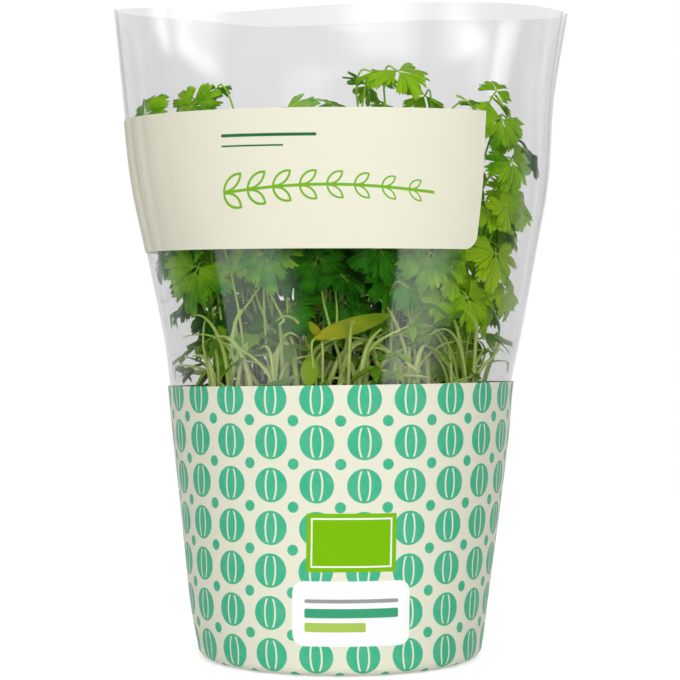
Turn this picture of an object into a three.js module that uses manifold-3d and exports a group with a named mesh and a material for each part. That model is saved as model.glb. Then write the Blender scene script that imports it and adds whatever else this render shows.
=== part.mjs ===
// A pot of coriander as it is sold: a thin plastic growing pot with heaped soil, a crowd of
// seedlings, and a conical sleeve, clear above and opaque round the pot, with a printed band.
// Millimetres, +Z up. The origin is on the ground under the middle of the pot, -Y is the front.
import * as THREE from 'three';
import { mergeVertices } from 'three/addons/utils/BufferGeometryUtils.js';
import Module from 'manifold-3d';

const wasm = await Module();
wasm.setup();

// ---- driving dimensions ----
const SIDES = 36; // columns round the sleeve
const POT_SIDES = 24; // and round the pot and its soil
const FILM = 0.6; // wall of every layer of the sleeve
const GAP = 0.3; // clearance between pieces that touch

// The sleeve's outer face: height, half-width, half-depth, sideways lean of the middle.
const SLEEVE = [
  [5, 54.2, 54.2, 0],
  [20, 56.4, 56.4, -0.4],
  [50, 59.9, 59.9, 0],
  [82, 63.5, 63.5, 0.3],
  [104, 65.6, 65.6, 0.2],
  [120, 68.3, 66.8, 0.9],
  [150, 73.9, 68.8, 0.6],
  [180, 79.3, 69.2, 0],
  [211, 82.1, 68, -0.7],
  [244, 86.4, 66, 0.1],
];
// The sleeve's mouth: its height at angles from the front, positive towards +X.
const MOUTH = [
  [-180, 248], [-158, 246.5], [-137, 247.3], [-90, 244.3], [-48, 239.4], [-30, 236.3],
  [1, 237.8], [25, 239.4], [51, 241.3], [90, 243], [134, 247], [155, 248.8],
];
const WAVE = 0.8; // how far the clear film waves in and out near its mouth
const FILM_FOOT = 96; // the film reaches down inside the wrap to here
const LAP_TOP = 106; // a row of the film just over the wrap's edge
const FILM_ROWS = 7; // from there to the mouth
const WRAP_TOP = 103.2; // mean height of the wrap's upper edge
const WRAP_TILT = [1.8, 0.9]; // how much it rises to the front and to +X
const WRAP_ROWS = [22, 50, 75, 95];
const HEEL = 4.2; // radius of the wrap's turn under the pot
const HEEL_HALF_WIDTH = 54; // the wrap just above that turn
const HEM = 47.2; // the wrap's turned-in edge
const HEM_LIFT = 0.35; // its height over the ground
const LABEL_Z = [152.8, 202]; // lower and upper edge of the band
const LABEL_ARC = [-126, 40]; // its left and right end, degrees from the front
const LABEL_CORNER = 5; // radius of its lower right corner
const LABEL_ROWS = 4;

const POT = {
  height: 100.5, foot: [41, 46], footLift: 1.6, floor: 3.4, heel: 51.6, heelTop: 5,
  wallTop: 60.6, collarFoot: 87, collar: 62.6, wall: 1.2,
};
const DRAIN = { count: 8, radius: 3.2, ring: 34 };
const SOIL = { edge: 98, crown: 107, bump: 1.3, rings: 5, clearance: 0.35 };

const SEED = 37;
const SHOOTS = 37;
const SHOOT_RING = 51; // the seedlings stand within this radius
const SHOOT_JITTER = 2.2;
const LEAVES = 3; // the most that one seedling has
const INNER_RISE = 0.5; // leaves of the middle seedlings stay above this share of the foliage's height
const STEM = { depth: 11, radius: [1.05, 0.9], sides: 4, neck: 2.2 };
const STALK = { radius: [0.7, 0.55], steps: 4, aside: 14, tries: 8 };
const NEAR_CROWN = 9; // within this height of the crown a seedling's own stalks may touch
const BLADE = 0.7; // thickness of a leaf
const LEAF_SIZE = [14, 19.5]; // from the middle of a leaf to its tip
// How far over its own stem's place a leaf is carried outward, and aside in any direction.
const SPREAD = { wide: [1.05, 1.6], deep: [1, 1.35], aside: 19 };
const LEAF_RISE = 14; // every leaf is at least this far over the place where the stalks part
const LEAN = [0.3, 0.4, 1.6]; // a leaf's tilt: the least, the random part, and that of the outer leaves
const TURN = 1.1; // how far a leaf's tip may point away from straight outward, radians
const LEAST = 0.68; // where there is little room, leaves are down to this share of that
const DROOP = 0.3; // how far a leaf's tips hang, in its own size
const CLEAR = 3; // between sample points of different pieces
const TRIES = 900;
const FILM_CLEAR = 3.2; // foliage to the film's outer face
// Where the foliage ends above and below, across the width.
const CANOPY_TOP = [
  [-80, 214], [-45, 218], [-35, 206], [0, 208], [8, 222], [48, 221], [60, 212], [80, 216],
];
const CANOPY_FOOT = [[-80, 158], [-62, 146], [-50, 128], [-20, 119], [30, 121], [55, 127], [80, 134]];

// ---- small helpers ----
const rad = (degrees) => (degrees * Math.PI) / 180;
const lerp = (a, b, t) => a + (b - a) * t;

function seeded(seed) {
  let state = seed;
  return () => {
    state = (state * 48271) % 2147483647;
    return state / 2147483647;
  };
}

// A value between the rows of a table of [key, values...], eased with a cubic.
function station(table, key, column) {
  let i = 1;
  while (i < table.length - 1 && table[i][0] < key) i += 1;
  const [p, q] = [table[i - 1], table[i]];
  const before = table[Math.max(i - 2, 0)];
  const after = table[Math.min(i + 1, table.length - 1)];
  const span = q[0] - p[0];
  const slopeP = ((q[column] - before[column]) / (q[0] - before[0])) * span;
  const slopeQ = ((after[column] - p[column]) / (after[0] - p[0])) * span;
  const t = Math.min(Math.max((key - p[0]) / span, 0), 1);
  const s = 1 - t;
  const atP = p[column] * (1 + 2 * t) + slopeP * t;
  const atQ = q[column] * (3 - 2 * t) - slopeQ * s;
  return atP * s * s + atQ * t * t;
}

// The straight-line value of a table of [x, value].
function along(table, x) {
  let i = 1;
  while (i < table.length - 1 && table[i][0] < x) i += 1;
  const [p, q] = [table[i - 1], table[i]];
  return lerp(p[1], q[1], (x - p[0]) / (q[0] - p[0]));
}

function mouthHeight(degrees) {
  const round = MOUTH.map(([a, z]) => [a + 360, z]);
  const back = MOUTH.map(([a, z]) => [a - 360, z]);
  return station([...back, ...MOUTH, ...round], degrees, 1);
}

// A point on the sleeve: degrees from the front, height, and how far outside its outer face.
function onSleeve(degrees, z, out) {
  const a = rad(degrees);
  const rise = Math.min(Math.max((z - 106) / 138, 0), 1);
  const wave = WAVE * rise * (Math.cos(4 * a + 1.1 + 0.016 * z) + 0.6 * Math.cos(7 * a - 0.02 * z));
  const halfWidth = station(SLEEVE, z, 1) + wave + out;
  const halfDepth = station(SLEEVE, z, 2) + wave + out;
  return [station(SLEEVE, z, 3) + halfWidth * Math.sin(a), -halfDepth * Math.cos(a), z];
}

// ---- closed meshes ----
function geometryOf(points, faces) {
  const geometry = new THREE.BufferGeometry();
  geometry.setAttribute('position', new THREE.Float32BufferAttribute(points.flat(), 3));
  geometry.setIndex(faces.flat());
  return geometry;
}

// A grid of points, closed down each column. It is closed round too, or ends in two flat caps.
function closedGrid(columns, round) {
  const high = columns[0].length;
  const faces = [];
  const last = round ? columns.length : columns.length - 1;
  for (let i = 0; i < last; i += 1) {
    const j = (i + 1) % columns.length;
    for (let k = 0; k < high; k += 1) {
      const m = (k + 1) % high;
      faces.push([i * high + k, j * high + k, j * high + m], [i * high + k, j * high + m, i * high + m]);
    }
  }
  return { points: columns.flat(), faces };
}

function solidOf(geometry) {
  const bare = geometry.clone();
  bare.deleteAttribute('normal');
  bare.deleteAttribute('uv');
  const merged = mergeVertices(bare, 1e-5);
  return new wasm.Manifold(
    new wasm.Mesh({
      numProp: 3,
      vertProperties: new Float32Array(merged.attributes.position.array),
      triVerts: new Uint32Array(merged.index.array),
    }),
  );
}

function geometryFrom(solid) {
  const mesh = solid.getMesh();
  const geometry = new THREE.BufferGeometry();
  geometry.setAttribute('position', new THREE.BufferAttribute(new Float32Array(mesh.vertProperties), 3));
  geometry.setIndex(new THREE.BufferAttribute(new Uint32Array(mesh.triVerts), 1));
  return geometry;
}

// A round body from a profile of [radius, height] points.
function turned(profile, sides) {
  const lathe = new THREE.LatheGeometry(profile.map(([r, z]) => new THREE.Vector2(r, z)), sides);
  lathe.rotateX(Math.PI / 2);
  return lathe;
}

// ---- the sleeve ----
const columnsRound = Array.from({ length: SIDES }, (_, i) => (360 / SIDES) * i - 180);

function sleeveFilm() {
  const columns = columnsRound.map((degrees) => {
    const mouth = mouthHeight(degrees);
    const clear = Array.from({ length: FILM_ROWS + 1 }, (_, k) => lerp(LAP_TOP, mouth, k / FILM_ROWS));
    const heights = [FILM_FOOT, ...clear];
    const out = heights.map((z) => onSleeve(degrees, z, -FILM - GAP));
    const inside = heights.map((z) => onSleeve(degrees, z, -2 * FILM - GAP)).reverse();
    return [...out, ...inside];
  });
  const { points, faces } = closedGrid(columns, true);
  return geometryOf(points, faces);
}

function sleeveWrap() {
  const turn = [0, 45, 90].map(rad);
  const columns = columnsRound.map((degrees) => {
    const a = rad(degrees);
    const top = WRAP_TOP + WRAP_TILT[0] * Math.cos(a) + WRAP_TILT[1] * Math.sin(a);
    const heel = (radius) =>
      turn.map((t) => {
        const r = HEEL_HALF_WIDTH - HEEL + radius * Math.sin(t);
        return [r * Math.sin(a), -r * Math.cos(a), HEM_LIFT + HEEL - radius * Math.cos(t)];
      });
    const hem = (z) => [HEM * Math.sin(a), -HEM * Math.cos(a), z];
    const wall = [...WRAP_ROWS, top];
    const out = wall.map((z) => onSleeve(degrees, z, 0));
    const inside = wall.map((z) => onSleeve(degrees, z, -FILM)).reverse();
    return [
      hem(HEM_LIFT), ...heel(HEEL), ...out,
      ...inside, ...heel(HEEL - FILM).reverse(), hem(HEM_LIFT + FILM),
    ];
  });
  const { points, faces } = closedGrid(columns, true);
  return geometryOf(points, faces);
}

function sleeveLabel() {
  const [left, right] = LABEL_ARC;
  const step = 360 / SIDES;
  const reach = (LABEL_CORNER / station(SLEEVE, LABEL_Z[0], 1)) * (180 / Math.PI);
  const angles = [left];
  for (let a = Math.ceil(left / step) * step; a < right - reach; a += step) angles.push(a);
  for (const t of [90, 60, 30, 12, 0]) angles.push(right - reach * (1 - Math.cos(rad(t))));
  const columns = angles.map((degrees) => {
    const into = Math.min(Math.max((degrees - right + reach) / reach, 0), 1);
    const foot = LABEL_Z[0] + LABEL_CORNER * (1 - Math.sqrt(1 - into * into));
    const heights = Array.from({ length: LABEL_ROWS + 1 }, (_, k) => lerp(foot, LABEL_Z[1], k / LABEL_ROWS));
    const out = heights.map((z) => onSleeve(degrees, z, 0));
    const inside = heights.map((z) => onSleeve(degrees, z, -FILM)).reverse();
    return [...out, ...inside];
  });
  const { points, faces } = closedGrid(columns, false);
  const high = columns[0].length;
  const start = (columns.length - 1) * high;
  for (let k = 0; k < LABEL_ROWS; k += 1) {
    const [a, b, c, d] = [k, k + 1, high - 2 - k, high - 1 - k];
    faces.push([a, b, c], [a, c, d]);
    faces.push([start + a, start + c, start + b], [start + a, start + d, start + c]);
  }
  return geometryOf(points, faces);
}

// ---- the pot and the soil ----
function pot() {
  const p = POT;
  const under = p.floor - p.wall - 0.3;
  const profile = [
    [0, under], [p.foot[0], under], [p.foot[0], 0], [p.foot[1], 0], [p.foot[1], p.footLift],
    [p.heel - 3, p.footLift], [p.heel - 0.8, p.footLift + 1.2], [p.heel, p.heelTop],
    [p.wallTop, p.collarFoot - 1], [p.collar, p.collarFoot], [p.collar, p.height],
    [p.collar - p.wall, p.height], [p.collar - p.wall, p.collarFoot + 1],
    [p.wallTop - p.wall, p.collarFoot - 1.5], [p.heel - p.wall, p.heelTop + 0.5],
    [p.heel - 3, p.floor], [0, p.floor],
  ];
  const body = solidOf(turned(profile, POT_SIDES));
  let holes = null;
  for (let i = 0; i < DRAIN.count; i += 1) {
    const a = (2 * Math.PI * i) / DRAIN.count;
    const drill = new THREE.CylinderGeometry(DRAIN.radius, DRAIN.radius, 8, 8);
    drill.rotateX(Math.PI / 2);
    drill.translate(DRAIN.ring * Math.cos(a), DRAIN.ring * Math.sin(a), p.floor);
    holes = holes ? holes.add(solidOf(drill)) : solidOf(drill);
  }
  return body.subtract(holes);
}

function soilHeight(x, y) {
  const r = Math.hypot(x, y) / (POT.collar - POT.wall);
  const mound = lerp(SOIL.crown, SOIL.edge, r * r);
  const lumps = Math.sin(0.19 * x + 1.3) * Math.cos(0.23 * y - 0.4) + 0.5 * Math.sin(0.41 * y + 0.3 * x);
  return mound + SOIL.bump * lumps * (1 - 0.7 * r * r);
}

function soil(stems) {
  const p = POT;
  const points = [];
  const faces = [];
  const wallRadius = (z) => {
    const t = (z - p.heelTop - 0.5) / (p.collarFoot - 1.5 - p.heelTop - 0.5);
    return lerp(p.heel - p.wall, p.wallTop - p.wall, t) - GAP - 0.3;
  };
  const edge = wallRadius(p.collarFoot - 2);
  const rings = [[p.heel - 3.6, p.floor + GAP], [wallRadius(8), 8], [edge, p.collarFoot - 2]];
  for (let k = 0; k <= SOIL.rings; k += 1) {
    const r = edge * (1 - k / (SOIL.rings + 0.5));
    rings.push([r, null]);
  }
  for (const [r, z] of rings) {
    for (let i = 0; i < POT_SIDES; i += 1) {
      const a = (2 * Math.PI * i) / POT_SIDES;
      const [x, y] = [r * Math.sin(a), -r * Math.cos(a)];
      points.push([x, y, z ?? soilHeight(x, y)]);
    }
  }
  const n = POT_SIDES;
  for (let k = 0; k < rings.length - 1; k += 1) {
    for (let i = 0; i < n; i += 1) {
      const j = (i + 1) % n;
      faces.push([k * n + i, k * n + j, k * n + n + j], [k * n + i, k * n + n + j, k * n + n + i]);
    }
  }
  const bottom = points.push([0, 0, p.floor + GAP]) - 1;
  const crown = points.push([0, 0, soilHeight(0, 0)]) - 1;
  const top = (rings.length - 1) * n;
  for (let i = 0; i < n; i += 1) {
    const j = (i + 1) % n;
    faces.push([bottom, j, i], [crown, top + i, top + j]);
  }
  const holes = stems.map(([x, y]) => {
    const foot = soilHeight(x, y) - STEM.depth - GAP;
    const high = SOIL.crown + 6 - foot;
    const radius = STEM.radius[0] + SOIL.clearance;
    const hole = new THREE.CylinderGeometry(radius, radius, high, STEM.sides);
    hole.rotateX(Math.PI / 2);
    hole.translate(x, y, foot + high / 2);
    return solidOf(hole);
  });
  return solidOf(geometryOf(points, faces)).subtract(wasm.Manifold.union(holes));
}

// ---- the seedlings ----
// A leaflet's outline about the middle of the leaf, as [degrees from its own tip, radius].
const LEAFLET = [[-34, 0.62], [-25, 0.88], [-12, 0.77], [0, 1], [12, 0.77], [25, 0.88], [34, 0.62]];
const LEAFLETS = [[0, 1], [80, 0.92], [-80, 0.92]];
const NOTCH = 0.2;
const TAIL = 0.3; // the leaf's base, where its stalk comes in
const TAIL_TURN = 172.5;

function leafOutline() {
  const ring = [];
  for (const [turn, size] of LEAFLETS) {
    for (const [a, r] of LEAFLET) ring.push([turn + a, r * size]);
  }
  ring.push([40, NOTCH], [-40, NOTCH], [TAIL_TURN, TAIL], [-TAIL_TURN, TAIL]);
  return ring.sort((p, q) => p[0] - q[0]);
}
const OUTLINE = leafOutline();

const add = (p, q, s) => [p[0] + q[0] * s, p[1] + q[1] * s, p[2] + q[2] * s];
const dot = (p, q) => p[0] * q[0] + p[1] * q[1] + p[2] * q[2];
const cross = (p, q) => [p[1] * q[2] - p[2] * q[1], p[2] * q[0] - p[0] * q[2], p[0] * q[1] - p[1] * q[0]];
const unit = (p) => {
  const length = Math.sqrt(dot(p, p));
  return [p[0] / length, p[1] / length, p[2] / length];
};

// A point of a leaf in polar form about its middle. Its tips hang away from its upper face.
function onLeaf(leaf, degrees, radius) {
  const a = rad(degrees);
  let p = add(leaf.middle, leaf.ahead, radius * leaf.size * Math.cos(a));
  p = add(p, leaf.across, radius * leaf.size * Math.sin(a));
  return add(p, leaf.up, -DROOP * leaf.size * radius * radius);
}

// Points spread over a leaf, close enough that nothing slips between them.
function leafSamples(leaf) {
  const samples = [leaf.middle];
  const rings = 6;
  for (let k = 1; k <= rings; k += 1) {
    const radius = k / rings;
    const count = Math.round(6.3 * k);
    for (let i = 0; i < count; i += 1) {
      const degrees = (360 * i) / count - 180;
      const side = Math.abs(degrees);
      const blade = side < 40 || (side > 44 && side < 118);
      if (blade || radius < 0.45) samples.push(onLeaf(leaf, degrees, radius));
    }
  }
  return samples;
}

function bezier(p, t) {
  const s = 1 - t;
  const w = [s * s * s, 3 * s * s * t, 3 * s * t * t, t * t * t];
  return [0, 1, 2].map((k) => w[0] * p[0][k] + w[1] * p[1][k] + w[2] * p[2][k] + w[3] * p[3][k]);
}

function bentLine(controls, steps) {
  return Array.from({ length: steps + 1 }, (_, i) => bezier(controls, i / steps));
}

function lineSamples(path) {
  const samples = [];
  for (let i = 0; i < path.length - 1; i += 1) {
    const step = add(path[i + 1], path[i], -1);
    const parts = Math.max(1, Math.ceil(Math.sqrt(dot(step, step)) / 2.4));
    for (let k = 0; k < parts; k += 1) samples.push(add(path[i], step, k / parts));
  }
  samples.push(path[path.length - 1]);
  return samples;
}

// Points that are taken, found again by the cell they lie near.
class Crowd {
  constructor() {
    this.cells = new Map();
  }

  static key(i, j, k) {
    return (i * 512 + j) * 512 + k;
  }

  put(p, owner) {
    const [x, y, z] = p.map((v) => Math.floor(v / CLEAR) + 128);
    for (let i = -1; i <= 1; i += 1) {
      for (let j = -1; j <= 1; j += 1) {
        for (let k = -1; k <= 1; k += 1) {
          const key = Crowd.key(x + i, y + j, z + k);
          if (!this.cells.has(key)) this.cells.set(key, []);
          this.cells.get(key).push([p, owner]);
        }
      }
    }
  }

  meets(p, ignored) {
    const [x, y, z] = p.map((v) => Math.floor(v / CLEAR) + 128);
    const near = this.cells.get(Crowd.key(x, y, z)) ?? [];
    return near.some(([q, owner]) => {
      if (owner === ignored) return false;
      const d = add(p, q, -1);
      return dot(d, d) < CLEAR * CLEAR;
    });
  }
}

function insideSleeve(p) {
  const halfWidth = station(SLEEVE, p[2], 1) - FILM_CLEAR;
  const halfDepth = station(SLEEVE, p[2], 2) - FILM_CLEAR;
  const x = (p[0] - station(SLEEVE, p[2], 3)) / halfWidth;
  const y = p[1] / halfDepth;
  return x * x + y * y < 1 && p[2] > soilHeight(p[0], p[1]) + 3;
}

// Where the seedlings stand: a spiral, each a little off its place.
function standingPlaces(draw) {
  return Array.from({ length: SHOOTS }, (_, i) => {
    const r = SHOOT_RING * Math.sqrt((i + 0.5) / SHOOTS);
    const a = i * rad(137.508);
    const x = r * Math.cos(a) + (draw() * 2 - 1) * SHOOT_JITTER;
    const y = r * Math.sin(a) + (draw() * 2 - 1) * SHOOT_JITTER;
    return [x, y];
  });
}

// A leaf has to stand well over the stem it grows from, under the top of the foliage.
function leafFits({ middle, ahead, size }, crown) {
  const tip = add(middle, ahead, size);
  const top = Math.max(middle[2], tip[2]);
  return middle[2] > crown[2] + LEAF_RISE && top < along(CANOPY_TOP, tip[0]) + 3 && insideSleeve(tip);
}

// One leaf on its stalk, drawn at random where the foliage is.
function drawLeaf(crown, shrink, draw) {
  const x = crown[0] * lerp(SPREAD.wide[0], SPREAD.wide[1], draw()) + (draw() * 2 - 1) * SPREAD.aside;
  const y = crown[1] * lerp(SPREAD.deep[0], SPREAD.deep[1], draw()) + (draw() * 2 - 1) * SPREAD.aside;
  const size = lerp(LEAF_SIZE[0], LEAF_SIZE[1], draw()) * shrink;
  const inner = Math.max(1 - Math.sqrt(crown[0] * crown[0] + crown[1] * crown[1]) / SHOOT_RING, 0);
  const z = lerp(along(CANOPY_FOOT, x), along(CANOPY_TOP, x), lerp(INNER_RISE * inner, 1, draw()));
  const far = Math.sqrt(x * x + y * y) / 70;
  const outward = unit([x + (draw() * 2 - 1) * 40, y + (draw() * 2 - 1) * 40, 0.01]);
  const lean = LEAN[0] + LEAN[1] * draw() + LEAN[2] * far * draw();
  const up = unit([outward[0] * lean, outward[1] * lean, 1]);
  const turn = (draw() * 2 - 1) * TURN;
  const side = [-outward[1], outward[0], 0];
  const heading = add([outward[0] * Math.cos(turn), outward[1] * Math.cos(turn), 0], side, Math.sin(turn));
  const across = unit(cross(up, heading));
  return { middle: [x, y, z], up, ahead: cross(across, up), across, size };
}

// A stalk from the crown to a leaf's base, bowed at random.
function drawStalk(crown, from, leaf, draw) {
  const base = add(onLeaf(leaf, 180, TAIL), leaf.up, -BLADE / 2);
  const away = 0.05 + 0.5 * draw();
  const aside = (draw() * 2 - 1) * STALK.aside;
  const high = lerp(crown[2], base[2], 0.3 + 0.4 * draw());
  const [dx, dy] = [base[0] - crown[0], base[1] - crown[1]];
  const far = Math.sqrt(dx * dx + dy * dy) + 1;
  const bow = [crown[0] + dx * away - (dy / far) * aside, crown[1] + dy * away + (dx / far) * aside, high];
  const arrive = add(add(base, leaf.ahead, -0.4 * leaf.size), leaf.up, -0.25 * leaf.size);
  return bentLine([from, bow, arrive, base], STALK.steps);
}

// A bent stem out of the soil, up to where the leaf stalks part.
function drawStem([x, y], draw) {
  const ground = soilHeight(x, y);
  const tall = 12 + 16 * draw();
  const leanX = x * 0.06 + (draw() * 2 - 1) * 4;
  const leanY = y * 0.06 + (draw() * 2 - 1) * 4;
  const foot = [x, y, ground - STEM.depth];
  const rim = [x, y, ground + 1.5];
  const crown = [x + leanX, y + leanY, ground + tall];
  const bend = [x + leanX * -0.3, y + leanY * -0.3, ground + tall * 0.55];
  const bow = bentLine([rim, bend, bend, crown], 3);
  const neck = add(crown, unit(add(crown, bow[2], -1)), -STEM.neck);
  const stem = [foot, rim, bow[1], bow[2], neck, crown];
  return { crown, stem, leaves: [] };
}

// A stalk for a leaf that keeps clear of all but its own seedling's crown, if one is found.
function clearStalk({ crown }, from, leaf, index, crowd, draw) {
  for (let attempt = 0; attempt < STALK.tries; attempt += 1) {
    const path = drawStalk(crown, from, leaf, draw);
    const blocked = lineSamples(path).some((p) => {
      const owner = Math.abs(p[2] - crown[2]) < NEAR_CROWN ? index : -1;
      return !insideSleeve(p) || crowd.meets(p, owner);
    });
    if (!blocked) return path;
  }
  return null;
}

// Gives a seedling one more leaf, the first drawn that keeps clear of all that stands already.
function growLeaf(shoot, index, crowd, draw) {
  const { crown, stem, leaves } = shoot;
  const from = leaves.length === 0 ? crown : add(crown, add(stem[stem.length - 2], crown, -1), 0.5);
  for (let attempt = 0; attempt < TRIES; attempt += 1) {
    const shrink = lerp(1, LEAST, attempt / TRIES);
    const leaf = drawLeaf(crown, shrink, draw);
    if (!leafFits(leaf, crown) || crowd.meets(leaf.middle, -1)) continue;
    const blade = leafSamples(leaf);
    if (!blade.every(insideSleeve) || blade.some((p) => crowd.meets(p, -1))) continue;
    const path = clearStalk(shoot, from, leaf, index, crowd, draw);
    if (!path) continue;
    blade.forEach((p) => crowd.put(p, index));
    lineSamples(path).forEach((p) => crowd.put(p, index));
    leaves.push({ leaf, path });
    return;
  }
}

// The skin of a seedling: rings of points along its stem and stalks, bridged to each other and to
// the leaves' bases, in one closed mesh.
class Skin {
  constructor() {
    this.points = [];
    this.faces = [];
  }

  // Points about a centre, each in line with its neighbour in an earlier ring.
  ring(centre, tangent, radius, earlier) {
    const e1 = unit(cross(tangent, [1, 0, 0]));
    const e2 = cross(tangent, e1);
    const quarter = (2 * Math.PI) / STEM.sides;
    let phase = 0;
    if (earlier) {
      const angles = earlier.map((i) => {
        const arm = add(this.points[i], this.middleOf(earlier), -1);
        return Math.atan2(dot(arm, e2), dot(arm, e1));
      });
      const drift = angles.map((a, k) => {
        const d = a - angles[0] - k * quarter;
        return d - 2 * Math.PI * Math.round(d / (2 * Math.PI));
      });
      phase = angles[0] + drift.reduce((sum, d) => sum + d, 0) / drift.length;
    }
    return Array.from({ length: STEM.sides }, (_, k) => {
      const a = phase + k * quarter;
      return this.points.push(add(add(centre, e1, radius * Math.cos(a)), e2, radius * Math.sin(a))) - 1;
    });
  }

  middleOf(ring) {
    const sum = ring.reduce((total, i) => add(total, this.points[i], 1), [0, 0, 0]);
    return sum.map((v) => v / ring.length);
  }

  side(lower, upper, k) {
    const m = (k + 1) % lower.length;
    return [lower[k], lower[m], upper[m], upper[k]];
  }

  quad([a, b, c, d]) {
    this.faces.push([a, b, c], [a, c, d]);
  }

  bridge(lower, upper, open = []) {
    lower.forEach((_, k) => {
      if (!open.includes(k)) this.quad(this.side(lower, upper, k));
    });
  }

  // Rings along a path that starts at a given ring. The last of them meets the leaf's base.
  stalk(start, path, leaf) {
    let last = start;
    for (let i = 1; i < path.length - 1; i += 1) {
      const tangent = unit(add(path[i + 1], path[i - 1], -1));
      const radius = lerp(STALK.radius[0], STALK.radius[1], i / (path.length - 1));
      const next = this.ring(path[i], tangent, radius, last);
      this.bridge(last, next);
      last = next;
    }
    const base = this.blade(leaf);
    const turned = base.map((_, shift) => base.map((__, k) => base[(k + shift) % base.length]));
    const reach = (ring) =>
      ring.reduce((sum, i, k) => {
        const d = add(this.points[i], this.points[last[k]], -1);
        return sum + dot(d, d);
      }, 0);
    turned.sort((p, q) => reach(p) - reach(q));
    this.bridge(last, turned[0]);
  }

  // A leaf, alike on both faces and open at its base, whose four points it gives back.
  blade(leaf) {
    const rim = OUTLINE.map(([degrees, radius]) => onLeaf(leaf, degrees, radius));
    const top = [leaf.middle, ...rim].map((p) => this.points.push(p) - 1);
    const under = [leaf.middle, ...rim].map((p) => this.points.push(add(p, leaf.up, -BLADE)) - 1);
    const n = rim.length;
    for (let i = 1; i <= n; i += 1) {
      const j = (i % n) + 1;
      this.faces.push([top[0], top[i], top[j]], [under[0], under[j], under[i]]);
      if (i < n) this.quad([top[i], under[i], under[j], top[j]]);
    }
    return [under[n], top[n], top[1], under[1]];
  }
}

// Which side of a stem's ring of points looks most the way that a stalk goes.
function facing(skin, lower, upper, toward, taken) {
  const sides = lower.map((_, k) => {
    const arm = add(skin.middleOf(skin.side(lower, upper, k)), skin.middleOf([...lower, ...upper]), -1);
    return { k, score: dot(unit(arm), unit(toward)) };
  });
  return sides.filter(({ k }) => !taken.includes(k)).sort((p, q) => q.score - p.score)[0].k;
}

function shootGeometry({ stem, leaves }) {
  const skin = new Skin();
  const rings = [];
  stem.forEach((p, i) => {
    const tangent = unit(add(stem[Math.min(i + 1, stem.length - 1)], stem[Math.max(i - 1, 0)], -1));
    const radius = lerp(STEM.radius[0], STEM.radius[1], i / (stem.length - 1));
    rings.push(skin.ring(p, tangent, radius, rings[i - 1]));
  });
  skin.quad([...rings[0]].reverse());
  const neck = rings[rings.length - 2];
  const crown = rings[rings.length - 1];
  for (let i = 1; i < rings.length - 1; i += 1) skin.bridge(rings[i - 1], rings[i]);
  const taken = [];
  leaves.forEach(({ leaf, path }, n) => {
    if (n === 0) {
      skin.stalk(crown, path, leaf);
      return;
    }
    const k = facing(skin, neck, crown, add(path[1], path[0], -1), taken);
    taken.push(k);
    skin.stalk(skin.side(neck, crown, k), path, leaf);
  });
  skin.bridge(neck, crown, taken);
  if (leaves.length === 0) skin.quad(crown);
  return geometryOf(skin.points, skin.faces);
}

// ---- the assembly ----
const MATERIALS = {
  pot: { color: 0x202224, roughness: 0.55, metalness: 0 },
  soil: { color: 0x2b1d14, roughness: 0.98, metalness: 0 },
  film: { color: 0xf4f6f6, roughness: 0.08, metalness: 0, transparent: true, opacity: 0.3 },
  wrap: { color: 0xe9e6d6, roughness: 0.45, metalness: 0 },
  label: { color: 0xefeedc, roughness: 0.4, metalness: 0 },
  leaf: { color: 0x5f9a2c, roughness: 0.55, metalness: 0 },
};

const group = new THREE.Group();

function place(name, geometry, material) {
  const mesh = new THREE.Mesh(geometry, new THREE.MeshStandardMaterial(material));
  mesh.name = name;
  group.add(mesh);
}

const draw = seeded(SEED);
const places = standingPlaces(draw);
const crowd = new Crowd();
// All the stems stand first. Then each seedling in turn grows a leaf: the first time from the
// middle outwards, after that from the outside in.
const shoots = places.map((spot) => drawStem(spot, draw));
shoots.forEach(({ stem }, i) => lineSamples(stem).forEach((p) => crowd.put(p, i)));
for (let round = 0; round < LEAVES; round += 1) {
  for (let i = 0; i < SHOOTS; i += 1) {
    const turn = round === 0 ? i : SHOOTS - 1 - i;
    growLeaf(shoots[turn], turn, crowd, draw);
  }
}

place('pot', geometryFrom(pot()), MATERIALS.pot);
place('soil', geometryFrom(soil(places)), MATERIALS.soil);
place('sleeve_film', sleeveFilm(), MATERIALS.film);
place('sleeve_wrap', sleeveWrap(), MATERIALS.wrap);
place('sleeve_label', sleeveLabel(), MATERIALS.label);
shoots.forEach((shoot, i) => {
  const name = `shoot_${String(i + 1).padStart(2, '0')}`;
  place(name, shootGeometry(shoot), MATERIALS.leaf);
});

export default group;
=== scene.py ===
"""The looks of a pot of coriander in its sleeve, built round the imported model.

Sizes are in millimetres and become metres where a mesh is made; the lights are in metres. The origin
is on the ground under the middle of the pot, -Y is the front. The order of the random draws is part
of the design.
"""
import math
import random

import bmesh
import bpy
import numpy as np
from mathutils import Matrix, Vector, noise


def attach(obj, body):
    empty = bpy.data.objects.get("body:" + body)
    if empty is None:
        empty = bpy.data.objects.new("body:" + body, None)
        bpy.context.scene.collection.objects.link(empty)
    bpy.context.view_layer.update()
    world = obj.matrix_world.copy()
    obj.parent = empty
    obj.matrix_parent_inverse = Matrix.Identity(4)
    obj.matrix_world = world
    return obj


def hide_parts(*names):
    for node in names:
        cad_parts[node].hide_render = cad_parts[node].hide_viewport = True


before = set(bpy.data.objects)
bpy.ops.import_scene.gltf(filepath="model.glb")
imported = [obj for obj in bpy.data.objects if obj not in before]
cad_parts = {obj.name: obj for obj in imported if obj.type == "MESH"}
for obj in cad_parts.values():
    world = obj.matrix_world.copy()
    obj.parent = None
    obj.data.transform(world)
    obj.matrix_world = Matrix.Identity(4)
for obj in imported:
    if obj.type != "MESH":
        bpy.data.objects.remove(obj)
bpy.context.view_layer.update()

MM = 0.001

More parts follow.
